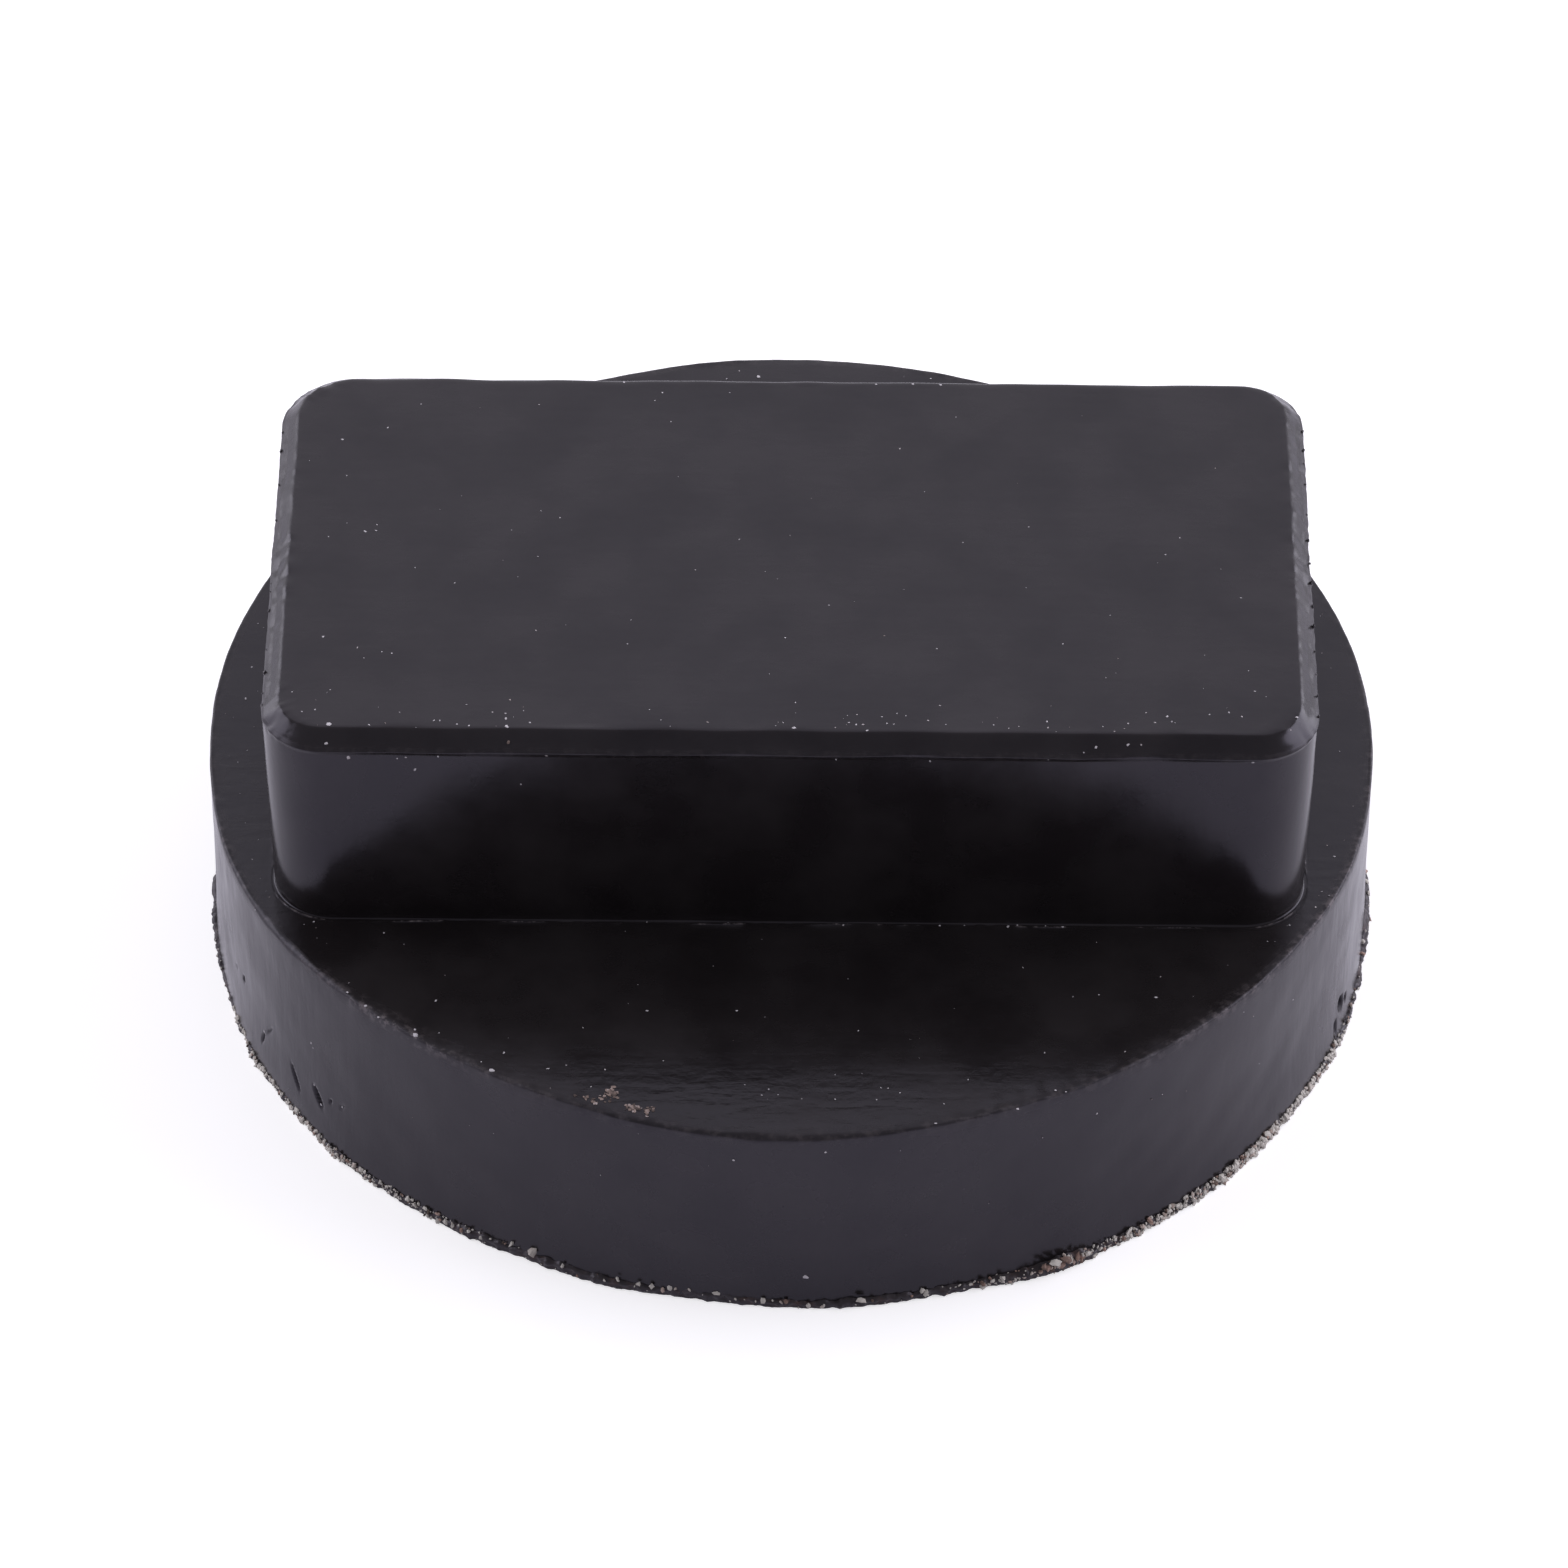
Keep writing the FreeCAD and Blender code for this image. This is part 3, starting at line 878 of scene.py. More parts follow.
def build_burrs(material):
    """The crumbs of rubber on the parting line, half sunk in it."""
    ends = ((-1.0, LEFT_OUT, LEFT_BURRS), (1.0, RIGHT_OUT, RIGHT_BURRS))
    rows = np.array([(side * (BLOCK_LONG / 2 + out), y, side, radius)
                     for side, out, burrs in ends for y, radius in burrs])
    lift = BURR_LIFT * cell_value(np.floor(rows[:, :3] * BURR_STEPS).astype(np.int64), 60)
    centres = np.column_stack([rows[:, :2], PARTING_RISE + lift])
    normals = rows[:, 2:3] * [[1.0, 0.0, 0.0]]
    tones = np.zeros(len(rows))
    return lumps("parting_burrs", centres, normals, rows[:, 3], LUMP_FLATNESS, tones, material, 61)


# Dust specks seen in the photo, in millimetres. On the top and the shoulder: x, y, radius, tone.
TOP_SPECKS = (
    (-9.3, 14.0, 0.07, 0.1), (4.4, 14.0, 0.06, 0.2), (6.4, 14.05, 0.07, 0.1),
    (7.9, 14.0, 0.08, 0.1), (-7.2, 13.15, 0.0534, 0), (-3.54, 13.2, 0.0378, 0.1),
    (-7.6, 12.47, 0.0495, 0.2), (-20.28, 12, 0.0443, 0.15), (-13.88, 12.05, 0.0521, 0.3),
    (8.72, 11.3, 0.0443, 0), (-6.7, 10.72, 0.0469, 0.1), (-22, 10, 0.0482, 0.2),
    (-24.4, 8.98, 0.0599, 0.15), (5.68, 8.63, 0.0456, 0.3), (-26.1, 7.21, 0.0378, 0),
    (-24.03, 6, 0.0378, 0.1), (-12.5, 2.7, 0.043, 0.2), (-23.86, 2.1, 0.043, 0.15),
    (-22.25, 2, 0.0404, 0.3), (-15.05, 1.65, 0.0352, 0), (-22.28, 1.51, 0.0534, 0.1),
    (-22.86, 1.42, 0.0651, 0), (-24.8, 0.99, 0.0339, 0.15), (-0.2, 1.4, 0.0352, 0.3),
    (-2.9, 1.05, 0.0443, 0), (9.02, 0.95, 0.0391, 0.1), (-13.59, -0.48, 0.0391, 0.2),
    (-20.09, -1.46, 0.043, 0.15), (-5.2, -1.45, 0.0352, 0.3), (-1.5, -1.54, 0.0391, 0),
    (1.89, -4.2, 0.0456, 0.1), (16.73, -4.8, 0.0391, 0.2), (-8.54, -5.5, 0.0443, 0.15),
    (-13.53, -6.4, 0.0456, 0.3), (-24.7, -7.03, 0.0755, 0), (-0.4, -6.8, 0.043, 0.1),
    (-8.7, -7.4, 0.0391, 0.2), (14.2, -7.1, 0.0391, 0.15), (-22.87, -7.88, 0.0456, 0.3),
    (-21.56, -8.2, 0.0404, 0), (-21.05, -8.3, 0.0378, 0.1), (-22.5, -8.7, 0.0378, 0.2),
    (23.9, -9.1, 0.0352, 0.15), (-24.15, -11.2, 0.0443, 0.3), (-26.13, -11.4, 0.0469, 0),
    (24.18, -10.7, 0.0404, 0.1), (0.16, -11.9, 0.0391, 0.2), (-17, -12.27, 0.0443, 0.15),
    (7.71, -12.03, 0.0482, 0.3), (-24.87, -12.76, 0.043, 0), (-7.44, -12.54, 0.0391, 0.1),
    (-14, -12.7, 0.0378, 0.2), (-25.54, -12.92, 0.043, 0.15), (18.45, -12.44, 0.0391, 0.3),
    (22.77, -12.38, 0.0508, 0), (5.46, -12.68, 0.0443, 0.1), (21.75, -12.55, 0.0469, 0.2),
    (-14.93, -12.94, 0.0495, 0.15), (3.38, -12.78, 0.0495, 0.3), (2.88, -12.87, 0.0339, 0),
    (4.68, -12.95, 0.0456, 0.1), (-14.9, -13.33, 0.08, 0.2), (5.93, -12.85, 0.0352, 0.15),
    (23.44, -12.68, 0.0456, 0.3), (19.53, -12.73, 0.0768, 0), (-18.64, -13.53, 0.0534, 0.1),
    (-18.33, -13.53, 0.0404, 0.2), (19.78, -13.12, 0.0469, 0.15), (7.08, -13.2, 0.0482, 0.3),
    (13.27, -13.2, 0.0612, 0), (-13.64, -13.62, 0.0495, 0.1), (-0.47, -13.45, 0.0456, 0.2),
    (2.96, -13.41, 0.0495, 0.15), (18.9, -13.21, 0.0599, 0.3), (4.94, -13.46, 0.0456, 0),
    (5.3, -13.5, 0.0443, 0.1), (17.49, -13.3, 0.0534, 0.2), (3.33, -13.56, 0.0547, 0.15),
    (3.69, -13.56, 0.0638, 0.3), (8, -13.5, 0.0378, 0), (10.5, -13.5, 0.043, 0.1),
    (-0.86, -13.7, 0.0404, 0.2), (16.18, -13.55, 0.0456, 0.15), (13.32, -13.67, 0.0456, 0.3),
    (0.1, -13.85, 0.11, 0), (-14.82, -13.95, 0.11, 0), (-17.43, -13.8, 0.0599, 0.2),
    (-16.8, -13.9, 0.0547, 0.15), (26.3, -12.7, 0.0729, 0), (3.9, -14, 0.0651, 0),
    (-24.1, -13.9, 0.125, 0), (-22, -13.9, 0.0599, 0.2),
)
SHOULDER_SPECKS = (
    (-2.1, 29.8, 0.1, 0.1), (-3.9, 29.6, 0.06, 0.2), (-3.2, 30.3, 0.05, 0.3),
    (-3.3, -15.25, 0.05, 0.1), (2.8, -15.3, 0.06, 0.2), (4.6, -15.25, 0.045, 0.1),
    (7.9, -15.3, 0.06, 0.1), (11.5, -15.3, 0.065, 0.2), (12.0, -15.2, 0.05, 0.0),
    (13.5, -15.25, 0.05, 0.1), (14.4, -15.3, 0.06, 0.2), (-20.3, -15.3, 0.05, 0.1),
    (9.2, -15.25, 0.035, 0.1), (-25.2, -15.4, 0.06, 0.0), (-7.6, -15.2, 0.035, 0.2),
    (-29.72, 2.16, 0.0879, 0), (-28.36, -14.52, 0.0442, 0.1), (-21.46, -16.2, 0.0431, 0.2),
    (12.26, -18.44, 0.0385, 0.15), (19.48, -19.04, 0.0385, 0.3), (14.85, -20.6, 0.0396, 0),
    (16.22, -20.44, 0.0396, 0.1), (19.21, -20.6, 0.0649, 0), (-18.53, -21.33, 0.0649, 0),
    (-7.46, -21.94, 0.0604, 0), (-2.75, -21.88, 0.0592, 0), (-10.78, -23.26, 0.0385, 0.1),
    (3.6, -23.3, 0.0385, 0.2), (-18.28, -23.73, 0.0408, 0.15), (17.49, -24.7, 0.0477, 0.3),
    (-14.85, -25.18, 0.0569, 0), (13.3, -24.83, 0.0488, 0.1), (-6.55, -25.67, 0.0396, 0.2),
    (-12.53, -26.33, 0.0604, 0), (-9.56, -26.37, 0.0408, 0.3), (9.3, -26.88, 0.0408, 0),
    (-2.3, -27.39, 0.0408, 0.1), (-10.26, -27.64, 0.0396, 0.2), (4.77, -27.53, 0.042, 0.15),
    (5.14, -27.55, 0.0465, 0.3), (5.76, -27.88, 0.0592, 0), (-0.56, -28.11, 0.0454, 0.1),
    (-1.39, -28.15, 0.0396, 0.2), (8.03, -28.66, 0.0546, 0.15), (0.68, -28.39, 0.0396, 0.3),
    (4.55, -28.4, 0.0385, 0), (2.4, -28.4, 0.0362, 0.1), (11.85, -29, 0.0649, 0),
    (14.36, -27.7, 0.0408, 0.15), (13.83, -27.6, 0.0615, 0), (7.61, -30.1, 0.058, 0),
    (29, -9.67, 0.0649, 0), (28.2, -12.4, 0.0488, 0.2), (28.6, -12.7, 0.0488, 0.15),
    (27.84, -13.6, 0.0534, 0.3), (-23.2, -20.75, 0.0776, 0), (-22.2, -21.75, 0.0776, 0),
    (-21.5, -22.6, 0.0649, 0), (-19.55, -23.5, 0.0718, 0), (-19.5, -23.9, 0.12, 0),
    (-15.4, -26.5, 0.13, 0),
)
# Patches of brown dirt by the shoulder's front edge, each drawn as a cluster of thin flakes:
# x, y, spread, and how many flakes.
DIRT_PATCHES = (
    (-9.2, -28.15, 0.22, 32),
    (-9.75, -28.75, 0.22, 10),
    (-8.15, -29.2, 0.18, 24),
    (-7.25, -29.3, 0.17, 22),
    (-10.5, -28.2, 0.2, 5),
)
FLAKE_SIZE = (0.04, 0.12)
FLAKE_TONE = (0.45, 0.95)
# On the block's front and corner: x, height, radius, tone.
FRONT_SPECKS = (
    (-24.2, 24.3, 0.08, 0.2), (-23.08, 23.6, 0.13, 0.3), (-20.53, 23.56, 0.07, 0.2),
    (-20.06, 23.64, 0.06, 0.3), (-18.4, 23.73, 0.08, 0.2), (-19.62, 22.79, 0.11, 0.1),
    (-12.78, 23.86, 0.1, 0.3), (-14.11, 21.8, 0.06, 0.3), (-14.74, 24.4, 0.1, 0.75),
    (2.3, 23.76, 0.06, 0.2), (7.19, 23.67, 0.06, 0.2), (17.48, 24.5, 0.07, 0.2),
    (18.16, 24.5, 0.06, 0.3), (13.37, 23.9, 0.07, 0.2), (14.09, 24.1, 0.06, 0.3),
    (15.18, 24.19, 0.07, 0.1), (15.8, 24.4, 0.06, 0.2), (-22.61, 16.34, 0.06, 0.2),
    (-22.05, 13.38, 0.07, 0.1), (24.0, 23.8, 0.08, 0.1),
)
# On the puck's wall: direction, height, radius, tone.
WALL_SPECKS = (
    (264.8, 10.36, 0.07, 0.2), (273.54, 11.07, 0.07, 0.2), (271.78, 2.08, 0.12, 0.0),
    (242.83, 3.07, 0.07, 0.2), (327.98, 8.25, 0.07, 0.2), (344.64, 2.25, 0.07, 0.2),
    (300.87, 9.71, 0.06, 0.2), (216.31, 6.33, 0.09, 0.1), (216.63, 6.1, 0.07, 0.1),
    (221.13, 3.62, 0.07, 0.2), (207.2, 3.1, 0.09, 0.1), (217.9, 2.5, 0.07, 0.1),
    (216.7, 3.4, 0.06, 0.1),
)
# Stray dust: how many specks lie by the chamfer's front edge, with as many anywhere on the top, and
# how many on the shoulder, with as many on the wall.
STRAY_ON_TOP = 33
STRAY_ON_PUCK = 100
# Half the length that it covers along the front edge, how fast it thins out from there, in
# millimetres, and the limits of its y; half the length and width that it covers on the top.
FRONT_DUST_HALF = 26.5
FRONT_DUST_FADE = 1.1
FRONT_DUST_LIMITS = (-14.1, 13.0)
TOP_DUST_HALF = (26, 13.5)
# On the shoulder it runs from this offset round the block out to this radius, denser outwards by the
# power; on the wall, from this height up to this much under the shoulder.
SHOULDER_DUST = (0.6, 30.8, 0.7)
WALL_DUST_FROM, WALL_DUST_UNDER = 1.0, 0.4
# Least, spread and power of the stray specks' radii in millimetres and of their tones.
STRAY_SIZE = (0.018, 0.035, 3)
STRAY_TONE = (0.0, 0.5, 1)
# How flat specks and flakes lie, how far the shoulder's specks stand over it, and the directions in
# which the top, the block's front and its chamfer face.
SPECK_FLATNESS, FLAKE_FLATNESS = 0.4, 0.15
SPECK_LIFT = 0.02
UPWARDS = (0.0, 0.0, 1.0)
FORWARDS = (0.0, -1.0, 0.0)
CHAMFER_NORMAL = (0.0, -0.7, 0.7)


def dirt_flakes(draw):
    """The flakes of the dirt patches, thicker towards each patch's middle: x, y, radius, tone."""
    return np.vstack([
        np.column_stack([
            draw.normal(x, spread, count), draw.normal(y, spread, count),
            draw.uniform(*FLAKE_SIZE, count), draw.uniform(*FLAKE_TONE, count),
        ])
        for x, y, spread, count in DIRT_PATCHES
    ])


def stray_dust(draw):
    """Fine dust drawn at random over the pad, thicker by the chamfer's front edge and the shoulder's:
    its centres and normals."""
    side = draw.uniform(-FRONT_DUST_HALF, FRONT_DUST_HALF, STRAY_ON_TOP)
    near = -BLOCK_WIDE / 2 + TOP_CHAMFER + draw.exponential(FRONT_DUST_FADE, STRAY_ON_TOP)
    spread = [draw.uniform(-half, half, STRAY_ON_TOP) for half in TOP_DUST_HALF]
    angle = draw.uniform(0, TAU, STRAY_ON_PUCK)
    offset, rim_reach, power = SHOULDER_DUST
    foot = block_outline(angle, offset, 1.0)
    far = foot + (rim_reach - foot) * draw.random(STRAY_ON_PUCK) ** power
    rim = draw.uniform(0, TAU, STRAY_ON_PUCK)
    level = draw.uniform(WALL_DUST_FROM, PUCK_THICK - WALL_DUST_UNDER, STRAY_ON_PUCK)
    high = np.full(STRAY_ON_TOP, TOP_LEVEL)
    centres = [
        np.column_stack([side, np.clip(near, *FRONT_DUST_LIMITS), high]),
        np.column_stack([*spread, high]),
        round_points(far, angle, PUCK_THICK),
        round_points((wall_radius(rim) + traced(rim, EDGE_TRACE)) / 2, rim, level),
    ]
    up = np.tile(UPWARDS, (2 * STRAY_ON_TOP + STRAY_ON_PUCK, 1))
    return np.vstack(centres), np.vstack([up, round_points(1.0, rim, 0.0)])


def build_dust(material):
    """Dust and crumbs of rubber: the listed specks, then the stray ones."""
    draw = np.random.default_rng(SEED + 50)
    top = np.array(TOP_SPECKS)
    flakes = dirt_flakes(draw)
    flat = np.vstack([SHOULDER_SPECKS, flakes])
    front = np.array(FRONT_SPECKS)
    wall = np.array(WALL_SPECKS)
    rim = np.radians(wall[:, 0])
    share = wall[:, 1] / PUCK_THICK
    wall_reach = wall_radius(rim) * (1 - share) + traced(rim, EDGE_TRACE) * share
    wall_reach = wall_reach + foot_flare(rim, wall[:, 1])
    over_parting = np.clip(front[:, 1] - PARTING_RISE, 0, TOP_CHAMFER)
    stray_centres, stray_normals = stray_dust(draw)
    centres = np.vstack([
        np.column_stack([top[:, :2], np.full(len(top), TOP_LEVEL)]),
        np.column_stack([flat[:, :2], np.full(len(flat), PUCK_THICK + SPECK_LIFT)]),
        np.column_stack([front[:, 0], over_parting - BLOCK_WIDE / 2, front[:, 1]]),
        round_points(wall_reach, rim, wall[:, 1]),
        stray_centres,
    ])
    normals = np.vstack([
        np.tile(UPWARDS, (len(top) + len(flat), 1)),
        np.where(over_parting[:, None] > 0, CHAMFER_NORMAL, FORWARDS),
        round_points(1.0, rim, 0.0),
        stray_normals,
    ])
    count = len(stray_centres)
    strays = [mostly_low(draw, count, *STRAY_SIZE), mostly_low(draw, count, *STRAY_TONE)]
    specks = np.vstack([top, flat, front, wall])[:, 2:]
    size, tone = np.vstack([specks, np.column_stack(strays)]).T
    flatness = np.full(len(size), SPECK_FLATNESS)
    first_flake = len(top) + len(SHOULDER_SPECKS)
    flatness[first_flake:first_flake + len(flakes)] = FLAKE_FLATNESS
    return lumps("dust_specks", centres, normals, size, flatness, tone, material, 51)


def add_node(tree, kind, settings=None, **inputs):
    """Adds a node, sets its properties, and links or fills its inputs, by name or by number."""
    node = tree.nodes.new(kind)
    for key, value in (settings or {}).items():
        setattr(node, key, value)
    for key, value in inputs.items():
        socket = node.inputs[int(key[1:]) if key[1:].isdigit() else key.replace("_", " ")]
        if isinstance(value, bpy.types.NodeSocket):
            tree.links.new(value, socket)
        else:
            socket.default_value = value
    return node


def new_material(name):
    """An empty node material and its tree."""
    material = bpy.data.materials.new(name)
    material.use_nodes = True
    material.node_tree.nodes.clear()
    return material, material.node_tree


def finish_material(tree, shader):
    """Links a shader to the material's output."""
    add_node(tree, "ShaderNodeOutputMaterial", Surface=shader.outputs[0])


def per_metre(size):
    """How many times a pattern of a real size in millimetres repeats in a metre."""
    return 1 / (size * MM)


# The rubber's colours, and its reflection, which is a little violet, as its bloom of wax makes it.
RUBBER_BLACK = "#1B1819"
RUBBER_BLOOM = "#252223"
# Painted shade inside the nicks, mixed in by their depth.
CUT_PAINTED_SHADE = "#070606"
# Pale grey of the line along the edges, partly dust and partly painted highlight.
DUST_AND_HIGHLIGHT_GREY = "#7A7274"
RUBBER_GLEAM = "#E4E0F4"
RUBBER_IOR = 1.45
# Real sizes of its patterns, in millimetres: clouds in the film of wax, wiped and rubbed streaks
# along X, Y and Z, crumbs in the pale line of dust and painted highlight, and the grain. The grain
# that a smooth mould leaves is finer than this, and is drawn as coarse as it needs to show.
FILM_CLOUDS = 5.0
WIPED_STREAKS = (4.0, 0.75, 2.5)
RUBBED_STREAKS = (0.9, 0.9, 6.0)
LINE_CRUMBS = 0.5
MOULDED_GRAIN = 0.3


def moulded_rubber():
    """Compression-moulded black rubber: carbon black makes it nearly black, and the steel mould
    leaves a smooth skin that gives a soft satin reflection of the room, with wiped streaks, a thin
    pale line along its worn edges that is partly dust and partly painted highlight, painted shade
    inside its nicks, and a faint grain."""
    material, tree = new_material("moulded_black_rubber")
    place = add_node(tree, "ShaderNodeTexCoord").outputs["Object"]
    worn, handled, cut, dust_and_highlight_line = (
        add_node(tree, "ShaderNodeAttribute", {"attribute_name": mark}).outputs["Fac"]
        for mark in ("worn", "handled", "cut", "dusty"))
    film = add_node(tree, "ShaderNodeTexNoise", Vector=place, Scale=per_metre(FILM_CLOUDS),
                    Detail=5.0)
    stretched = add_node(tree, "ShaderNodeMapping", Vector=place,
                         Scale=[per_metre(size) for size in WIPED_STREAKS])
    wiped = add_node(tree, "ShaderNodeTexNoise", Vector=stretched.outputs[0], Scale=1.0, Detail=3.0,
                     Roughness=0.5, Distortion=0.4)
    upright = add_node(tree, "ShaderNodeMapping", Vector=place,
                       Scale=[per_metre(size) for size in RUBBED_STREAKS])
    rubbed = add_node(tree, "ShaderNodeTexNoise", Vector=upright.outputs[0], Scale=1.0, Detail=3.0)
    blend = add_node(tree, "ShaderNodeMath", {"operation": "MULTIPLY_ADD"}, _0=wiped.outputs["Fac"],
                     _1=0.4, _2=film.outputs["Fac"])
    rough = add_node(tree, "ShaderNodeMapRange", Value=blend.outputs[0], From_Min=0.5, From_Max=0.95,
                     To_Min=0.17, To_Max=0.26)
    smears = add_node(tree, "ShaderNodeMapRange", Value=blend.outputs[0], From_Min=0.6,
                      From_Max=0.84, To_Min=0.0, To_Max=0.1)
    for mark, rougher in ((worn, 0.27), (cut, 0.5), (handled, smears.outputs[0])):
        rough = add_node(tree, "ShaderNodeMath", {"operation": "MULTIPLY_ADD"}, _0=mark, _1=rougher,
                         _2=rough.outputs[0])
    grain = add_node(tree, "ShaderNodeTexNoise", Vector=place, Scale=per_metre(MOULDED_GRAIN),
                     Detail=3.0)
    pull = add_node(tree, "ShaderNodeMath", {"operation": "MULTIPLY_ADD"}, _0=handled, _1=0.3,
                    _2=0.08)
    scuffs = add_node(tree, "ShaderNodeMath", {"operation": "ADD"}, _0=wiped.outputs["Fac"],
                      _1=rubbed.outputs["Fac"])
    streaks = add_node(tree, "ShaderNodeBump", Height=scuffs.outputs[0], Strength=pull.outputs[0],
                       Distance=0.1 * MM)
    bump = add_node(tree, "ShaderNodeBump", Height=grain.outputs["Fac"], Strength=0.1,
                    Distance=0.04 * MM, Normal=streaks.outputs[0])
    bloom = add_node(tree, "ShaderNodeMapRange", Value=film.outputs["Fac"], From_Min=0.36,
                     From_Max=0.64)
    crumbs = add_node(tree, "ShaderNodeTexNoise", Vector=place, Scale=per_metre(LINE_CRUMBS),
                      Detail=4.0, Roughness=0.7)
    # The pale line along the edges, partly dust and partly painted highlight, broken up by crumbs.
    dusty = add_node(tree, "ShaderNodeMapRange", Value=crumbs.outputs["Fac"], From_Min=0.48,
                     From_Max=0.62, To_Min=0.0, To_Max=0.6)
    line = add_node(tree, "ShaderNodeMath", {"operation": "MULTIPLY"}, _0=dust_and_highlight_line,
                    _1=dusty.outputs[0])
    colour = linear(RUBBER_BLACK)
    # Over the black: random bloom of wax, the pale line of dust and painted highlight, and painted
    # shade in the nicks.
    for share, over in ((bloom.outputs[0], RUBBER_BLOOM), (line.outputs[0], DUST_AND_HIGHLIGHT_GREY),
                        (cut, CUT_PAINTED_SHADE)):
        colour = add_node(tree, "ShaderNodeMix", {"data_type": "RGBA"}, _0=share, _6=colour,
                          _7=linear(over)).outputs[2]
    shader = add_node(tree, "ShaderNodeBsdfPrincipled", Base_Color=colour,
                      Roughness=rough.outputs[0], IOR=RUBBER_IOR, Specular_Tint=linear(RUBBER_GLEAM),
                      Normal=bump.outputs[0])
    finish_material(tree, shader)
    return material


# The torn rubber's colours, its roughness, and its patterns' real sizes in millimetres: patches of
# dust, chalky specks, and its broken grain.
TORN_BLACK = "#322E2F"
GAP_DUST = "#5A443D"
CHALK = "#8E8884"
TORN_ROUGHNESS = 0.36
DUST_PATCHES = 1.6
CHALKY_SPECKS = 0.25
BROKEN_GRAIN = 0.12


def torn_rubber():
    """The same rubber where a knife and fingers tore the flash: a dull broken surface, with brown
    dust in its gaps."""
    material, tree = new_material("torn_black_rubber")
    place = add_node(tree, "ShaderNodeTexCoord").outputs["Object"]
    gap, gritty = (add_node(tree, "ShaderNodeAttribute", {"attribute_name": mark}).outputs["Fac"]
                   for mark in ("gap", "gritty"))
    patches = add_node(tree, "ShaderNodeTexNoise", Vector=place, Scale=per_metre(DUST_PATCHES),
                       Detail=3.0)
    dusty = add_node(tree, "ShaderNodeMapRange", Value=patches.outputs["Fac"], From_Min=0.46,
                     From_Max=0.64, To_Min=0.0, To_Max=0.6)
    specks = add_node(tree, "ShaderNodeTexNoise", Vector=place, Scale=per_metre(CHALKY_SPECKS),
                      Detail=3.0, Roughness=0.6)
    spotted = add_node(tree, "ShaderNodeMapRange", Value=specks.outputs["Fac"], From_Min=0.5,
                       From_Max=0.6, To_Min=0.0, To_Max=0.9)
    colour = linear(TORN_BLACK)
    for mark, spread, over in ((gap, dusty, GAP_DUST), (gritty, spotted, CHALK)):
        share = add_node(tree, "ShaderNodeMath", {"operation": "MULTIPLY"}, _0=mark,
                         _1=spread.outputs[0])
        colour = add_node(tree, "ShaderNodeMix", {"data_type": "RGBA"}, _0=share.outputs[0],
                          _6=colour, _7=linear(over)).outputs[2]
    grain = add_node(tree, "ShaderNodeTexNoise", Vector=place, Scale=per_metre(BROKEN_GRAIN),
                     Detail=3.0)
    bump = add_node(tree, "ShaderNodeBump", Height=grain.outputs["Fac"], Strength=0.4,
                    Distance=0.05 * MM)
    shader = add_node(tree, "ShaderNodeBsdfPrincipled", Base_Color=colour,
                      Roughness=TORN_ROUGHNESS, IOR=RUBBER_IOR, Specular_Tint=linear(RUBBER_GLEAM),
                      Normal=bump.outputs[0])
    finish_material(tree, shader)
    return material


# The mineral's grain, in millimetres, its IOR, and where on its run of tones white, pink and brown
# stand.
MINERAL_GRAIN = 0.15
MINERAL_IOR = 1.5
WHITE_AT, PINK_AT, BROWN_AT = 0.35, 0.72, 1.0


def mineral(name, white, pink, brown, roughness):
    """Chalky mineral dust: rough and matt, from white over pink to brown by each lump's own tone."""
    material, tree = new_material(name)
    place = add_node(tree, "ShaderNodeTexCoord").outputs["Object"]
    tone = add_node(tree, "ShaderNodeAttribute", {"attribute_name": "tone"}).outputs["Fac"]
    speckle = add_node(tree, "ShaderNodeTexNoise", Vector=place, Scale=per_metre(MINERAL_GRAIN),
                       Detail=2.0)
    spread = add_node(tree, "ShaderNodeMath", {"operation": "MULTIPLY_ADD"},
                      _0=speckle.outputs["Fac"], _1=0.3, _2=tone)
    run = add_node(tree, "ShaderNodeValToRGB", Fac=spread.outputs[0])
    stops = run.color_ramp.elements
    stops[0].position = WHITE_AT
    stops[0].color = linear(white)
    stops[1].position = BROWN_AT
    stops[1].color = linear(brown)
    stops.new(PINK_AT).color = linear(pink)
    shader = add_node(tree, "ShaderNodeBsdfPrincipled", Base_Color=run.outputs["Color"],
                      Roughness=roughness, IOR=MINERAL_IOR)
    finish_material(tree, shader)
    return material


# The camera: the photo's viewing angle, in degrees, and its place, in metres.
VIEW_ELEVATION = 42.59
VIEW_AZIMUTH = 0.10
VIEW_ROLL = 0.43
VIEW_DISTANCE = 0.4773
VIEW_PAN = -0.00042
VIEW_RISE = 0.0060
LENS = 198.74
SENSOR = 36.0
CLIP = (0.01, 20.0)


def add_camera():
    """Stands on a sphere round the origin, slides across its own view, and rolls a little."""
    el = math.radians(VIEW_ELEVATION)
    az = math.radians(VIEW_AZIMUTH)
    roll = math.radians(VIEW_ROLL)
    back = Vector((math.sin(az) * math.cos(el), -math.cos(az) * math.cos(el), math.sin(el)))
    right = Vector((math.cos(az), math.sin(az), 0.0))
    up = back.cross(right)
    place = back * VIEW_DISTANCE + right * VIEW_PAN + up * VIEW_RISE
    x_axis = right * math.cos(roll) + up * math.sin(roll)
    y_axis = up * math.cos(roll) - right * math.sin(roll)
    data = bpy.data.cameras.new("camera")
    data.lens = LENS
    data.sensor_width = SENSOR
    data.clip_start, data.clip_end = CLIP
    camera = bpy.data.objects.new("camera", data)
    axes = Matrix((x_axis, y_axis, back)).transposed().to_4x4()
    camera.matrix_world = Matrix.Translation(place) @ axes
    bpy.context.scene.collection.objects.link(camera)
    bpy.context.scene.camera = camera


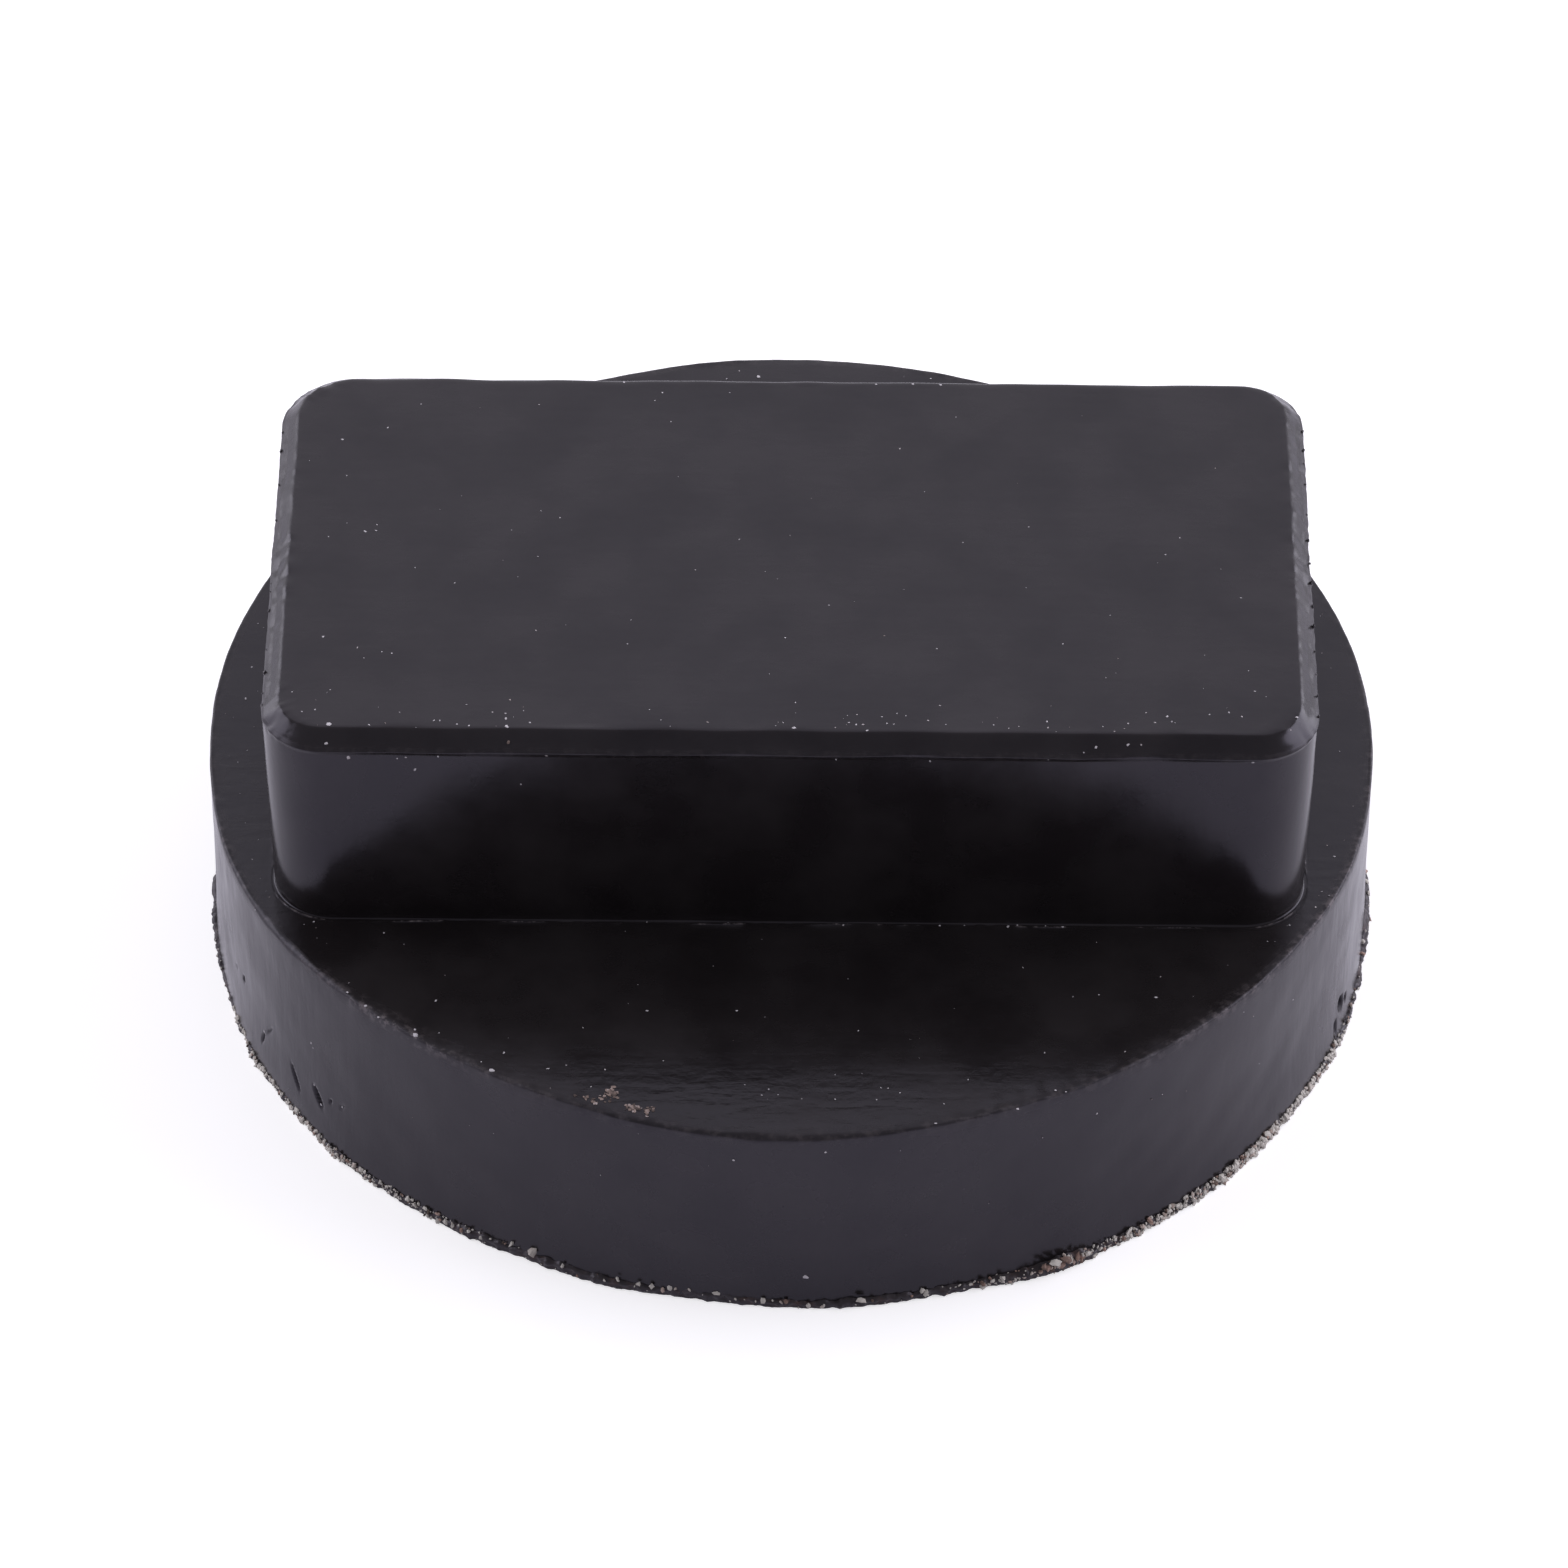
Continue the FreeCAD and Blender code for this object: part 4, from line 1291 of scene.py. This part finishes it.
# The studio: its colours, the strength of the surround in front and behind, what the floor adds of
# its own in reflections and straight to the camera, half its side in metres, where the lamps aim, and
# the soft lamps, each with its name, place, width and height in metres, and its power in watts.
WHITE = "#FFFFFF"
ROOM_TINT = "#FAF8FF"
FLOOR_WHITE = "#DDDBE0"
FLOOR_GLEAM = "#F0ECFF"
ROOM_FRONT = 0.3
ROOM_BACK = 1.0
FLOOR_LIFT = 0.38
CAMERA_LIFT = 0.58
FLOOR_HALF = 1.0
LAMP_AIM = (0.0, 0.0, 0.012)
LAMPS = (
    ("left_lamp", (-1.19, 0.36, 0.6), 1.7, 1.0, 13.8),
    ("right_lamp", (1.2, 0.32, 0.6), 1.7, 1.0, 19.0),
)


def add_lamp(name, place, width, height, watts):
    """A rectangular soft lamp that faces the pad."""
    data = bpy.data.lights.new(name, "AREA")
    data.shape = "RECTANGLE"
    data.size = width
    data.size_y = height
    data.energy = watts
    data.color = linear(ROOM_TINT)[:3]
    lamp = bpy.data.objects.new(name, data)
    lamp.location = place
    lamp.rotation_euler = (Vector(LAMP_AIM) - Vector(place)).to_track_quat("-Z", "Y").to_euler()
    bpy.context.scene.collection.objects.link(lamp)


def add_surround():
    """A pale room that is brighter behind the pad than in front; the camera sees it white."""
    world = bpy.data.worlds.new("pale_surround")
    bpy.context.scene.world = world
    world.use_nodes = True
    tree = world.node_tree
    tree.nodes.clear()
    direction = add_node(tree, "ShaderNodeTexCoord").outputs["Generated"]
    split = add_node(tree, "ShaderNodeSeparateXYZ", Vector=direction)
    glow = add_node(tree, "ShaderNodeMapRange", {"interpolation_type": "SMOOTHSTEP"},
                    Value=split.outputs["Y"], From_Min=0.1, From_Max=0.75, To_Min=ROOM_FRONT,
                    To_Max=ROOM_BACK)
    seen = add_node(tree, "ShaderNodeLightPath").outputs["Is Camera Ray"]
    strength = add_node(tree, "ShaderNodeMix", {"data_type": "FLOAT"}, _0=seen,
                        _2=glow.outputs["Result"], _3=1.0)
    tint = add_node(tree, "ShaderNodeMix", {"data_type": "RGBA"}, _0=seen, _6=linear(ROOM_TINT),
                    _7=linear(WHITE))
    background = add_node(tree, "ShaderNodeBackground", Color=tint.outputs[2],
                          Strength=strength.outputs[0])
    add_node(tree, "ShaderNodeOutputWorld", Surface=background.outputs[0])


def add_floor():
    """A matt white floor that keeps the pad's shadow and looks faintly violet in its reflections."""
    material, tree = new_material("matt_white_floor")
    shader = add_node(tree, "ShaderNodeBsdfDiffuse", Color=linear(FLOOR_WHITE))
    path = add_node(tree, "ShaderNodeLightPath")
    mirrored = add_node(tree, "ShaderNodeMath", {"operation": "MAXIMUM"},
                        _0=path.outputs["Is Glossy Ray"], _1=path.outputs["Is Transmission Ray"])
    mirrored = add_node(tree, "ShaderNodeMath", {"operation": "MULTIPLY"}, _0=mirrored.outputs[0],
                        _1=FLOOR_LIFT)
    lift = add_node(tree, "ShaderNodeMath", {"operation": "MULTIPLY_ADD"},
                    _0=path.outputs["Is Camera Ray"], _1=CAMERA_LIFT, _2=mirrored.outputs[0])
    tint = add_node(tree, "ShaderNodeMix", {"data_type": "RGBA"}, _0=path.outputs["Is Camera Ray"],
                    _6=linear(FLOOR_GLEAM), _7=linear(WHITE))
    glow = add_node(tree, "ShaderNodeEmission", Color=tint.outputs[2], Strength=lift.outputs[0])
    both = add_node(tree, "ShaderNodeAddShader", _0=shader.outputs[0], _1=glow.outputs[0])
    finish_material(tree, both)
    corners = [(x * FLOOR_HALF, y * FLOOR_HALF, 0.0)
               for x, y in ((-1, -1), (1, -1), (1, 1), (-1, 1))]
    mesh = bpy.data.meshes.new("floor")
    mesh.from_pydata(corners, [], [(0, 1, 2, 3)])
    mesh.materials.append(material)
    floor = bpy.data.objects.new("floor", mesh)
    bpy.context.scene.collection.objects.link(floor)
    floor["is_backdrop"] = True


skin = build_skin(moulded_rubber())
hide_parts("jack_pad")
grit_finish = mineral("chalky_mineral_grit", "#C2BDB8", "#A0847A", "#4A3B33", 0.75)
dust_finish = mineral("pale_dust", "#C2BEC4", "#8E7C76", "#4C403D", 0.9)
torn_finish = torn_rubber()
trimmings = (build_flash(torn_finish), build_burrs(torn_finish))
for piece in (skin, *trimmings, build_grit(grit_finish), build_dust(dust_finish)):
    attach(piece, "root")

add_camera()
add_surround()
add_floor()
for lamp in LAMPS:
    add_lamp(*lamp)
bpy.context.scene.view_settings.view_transform = "Standard"
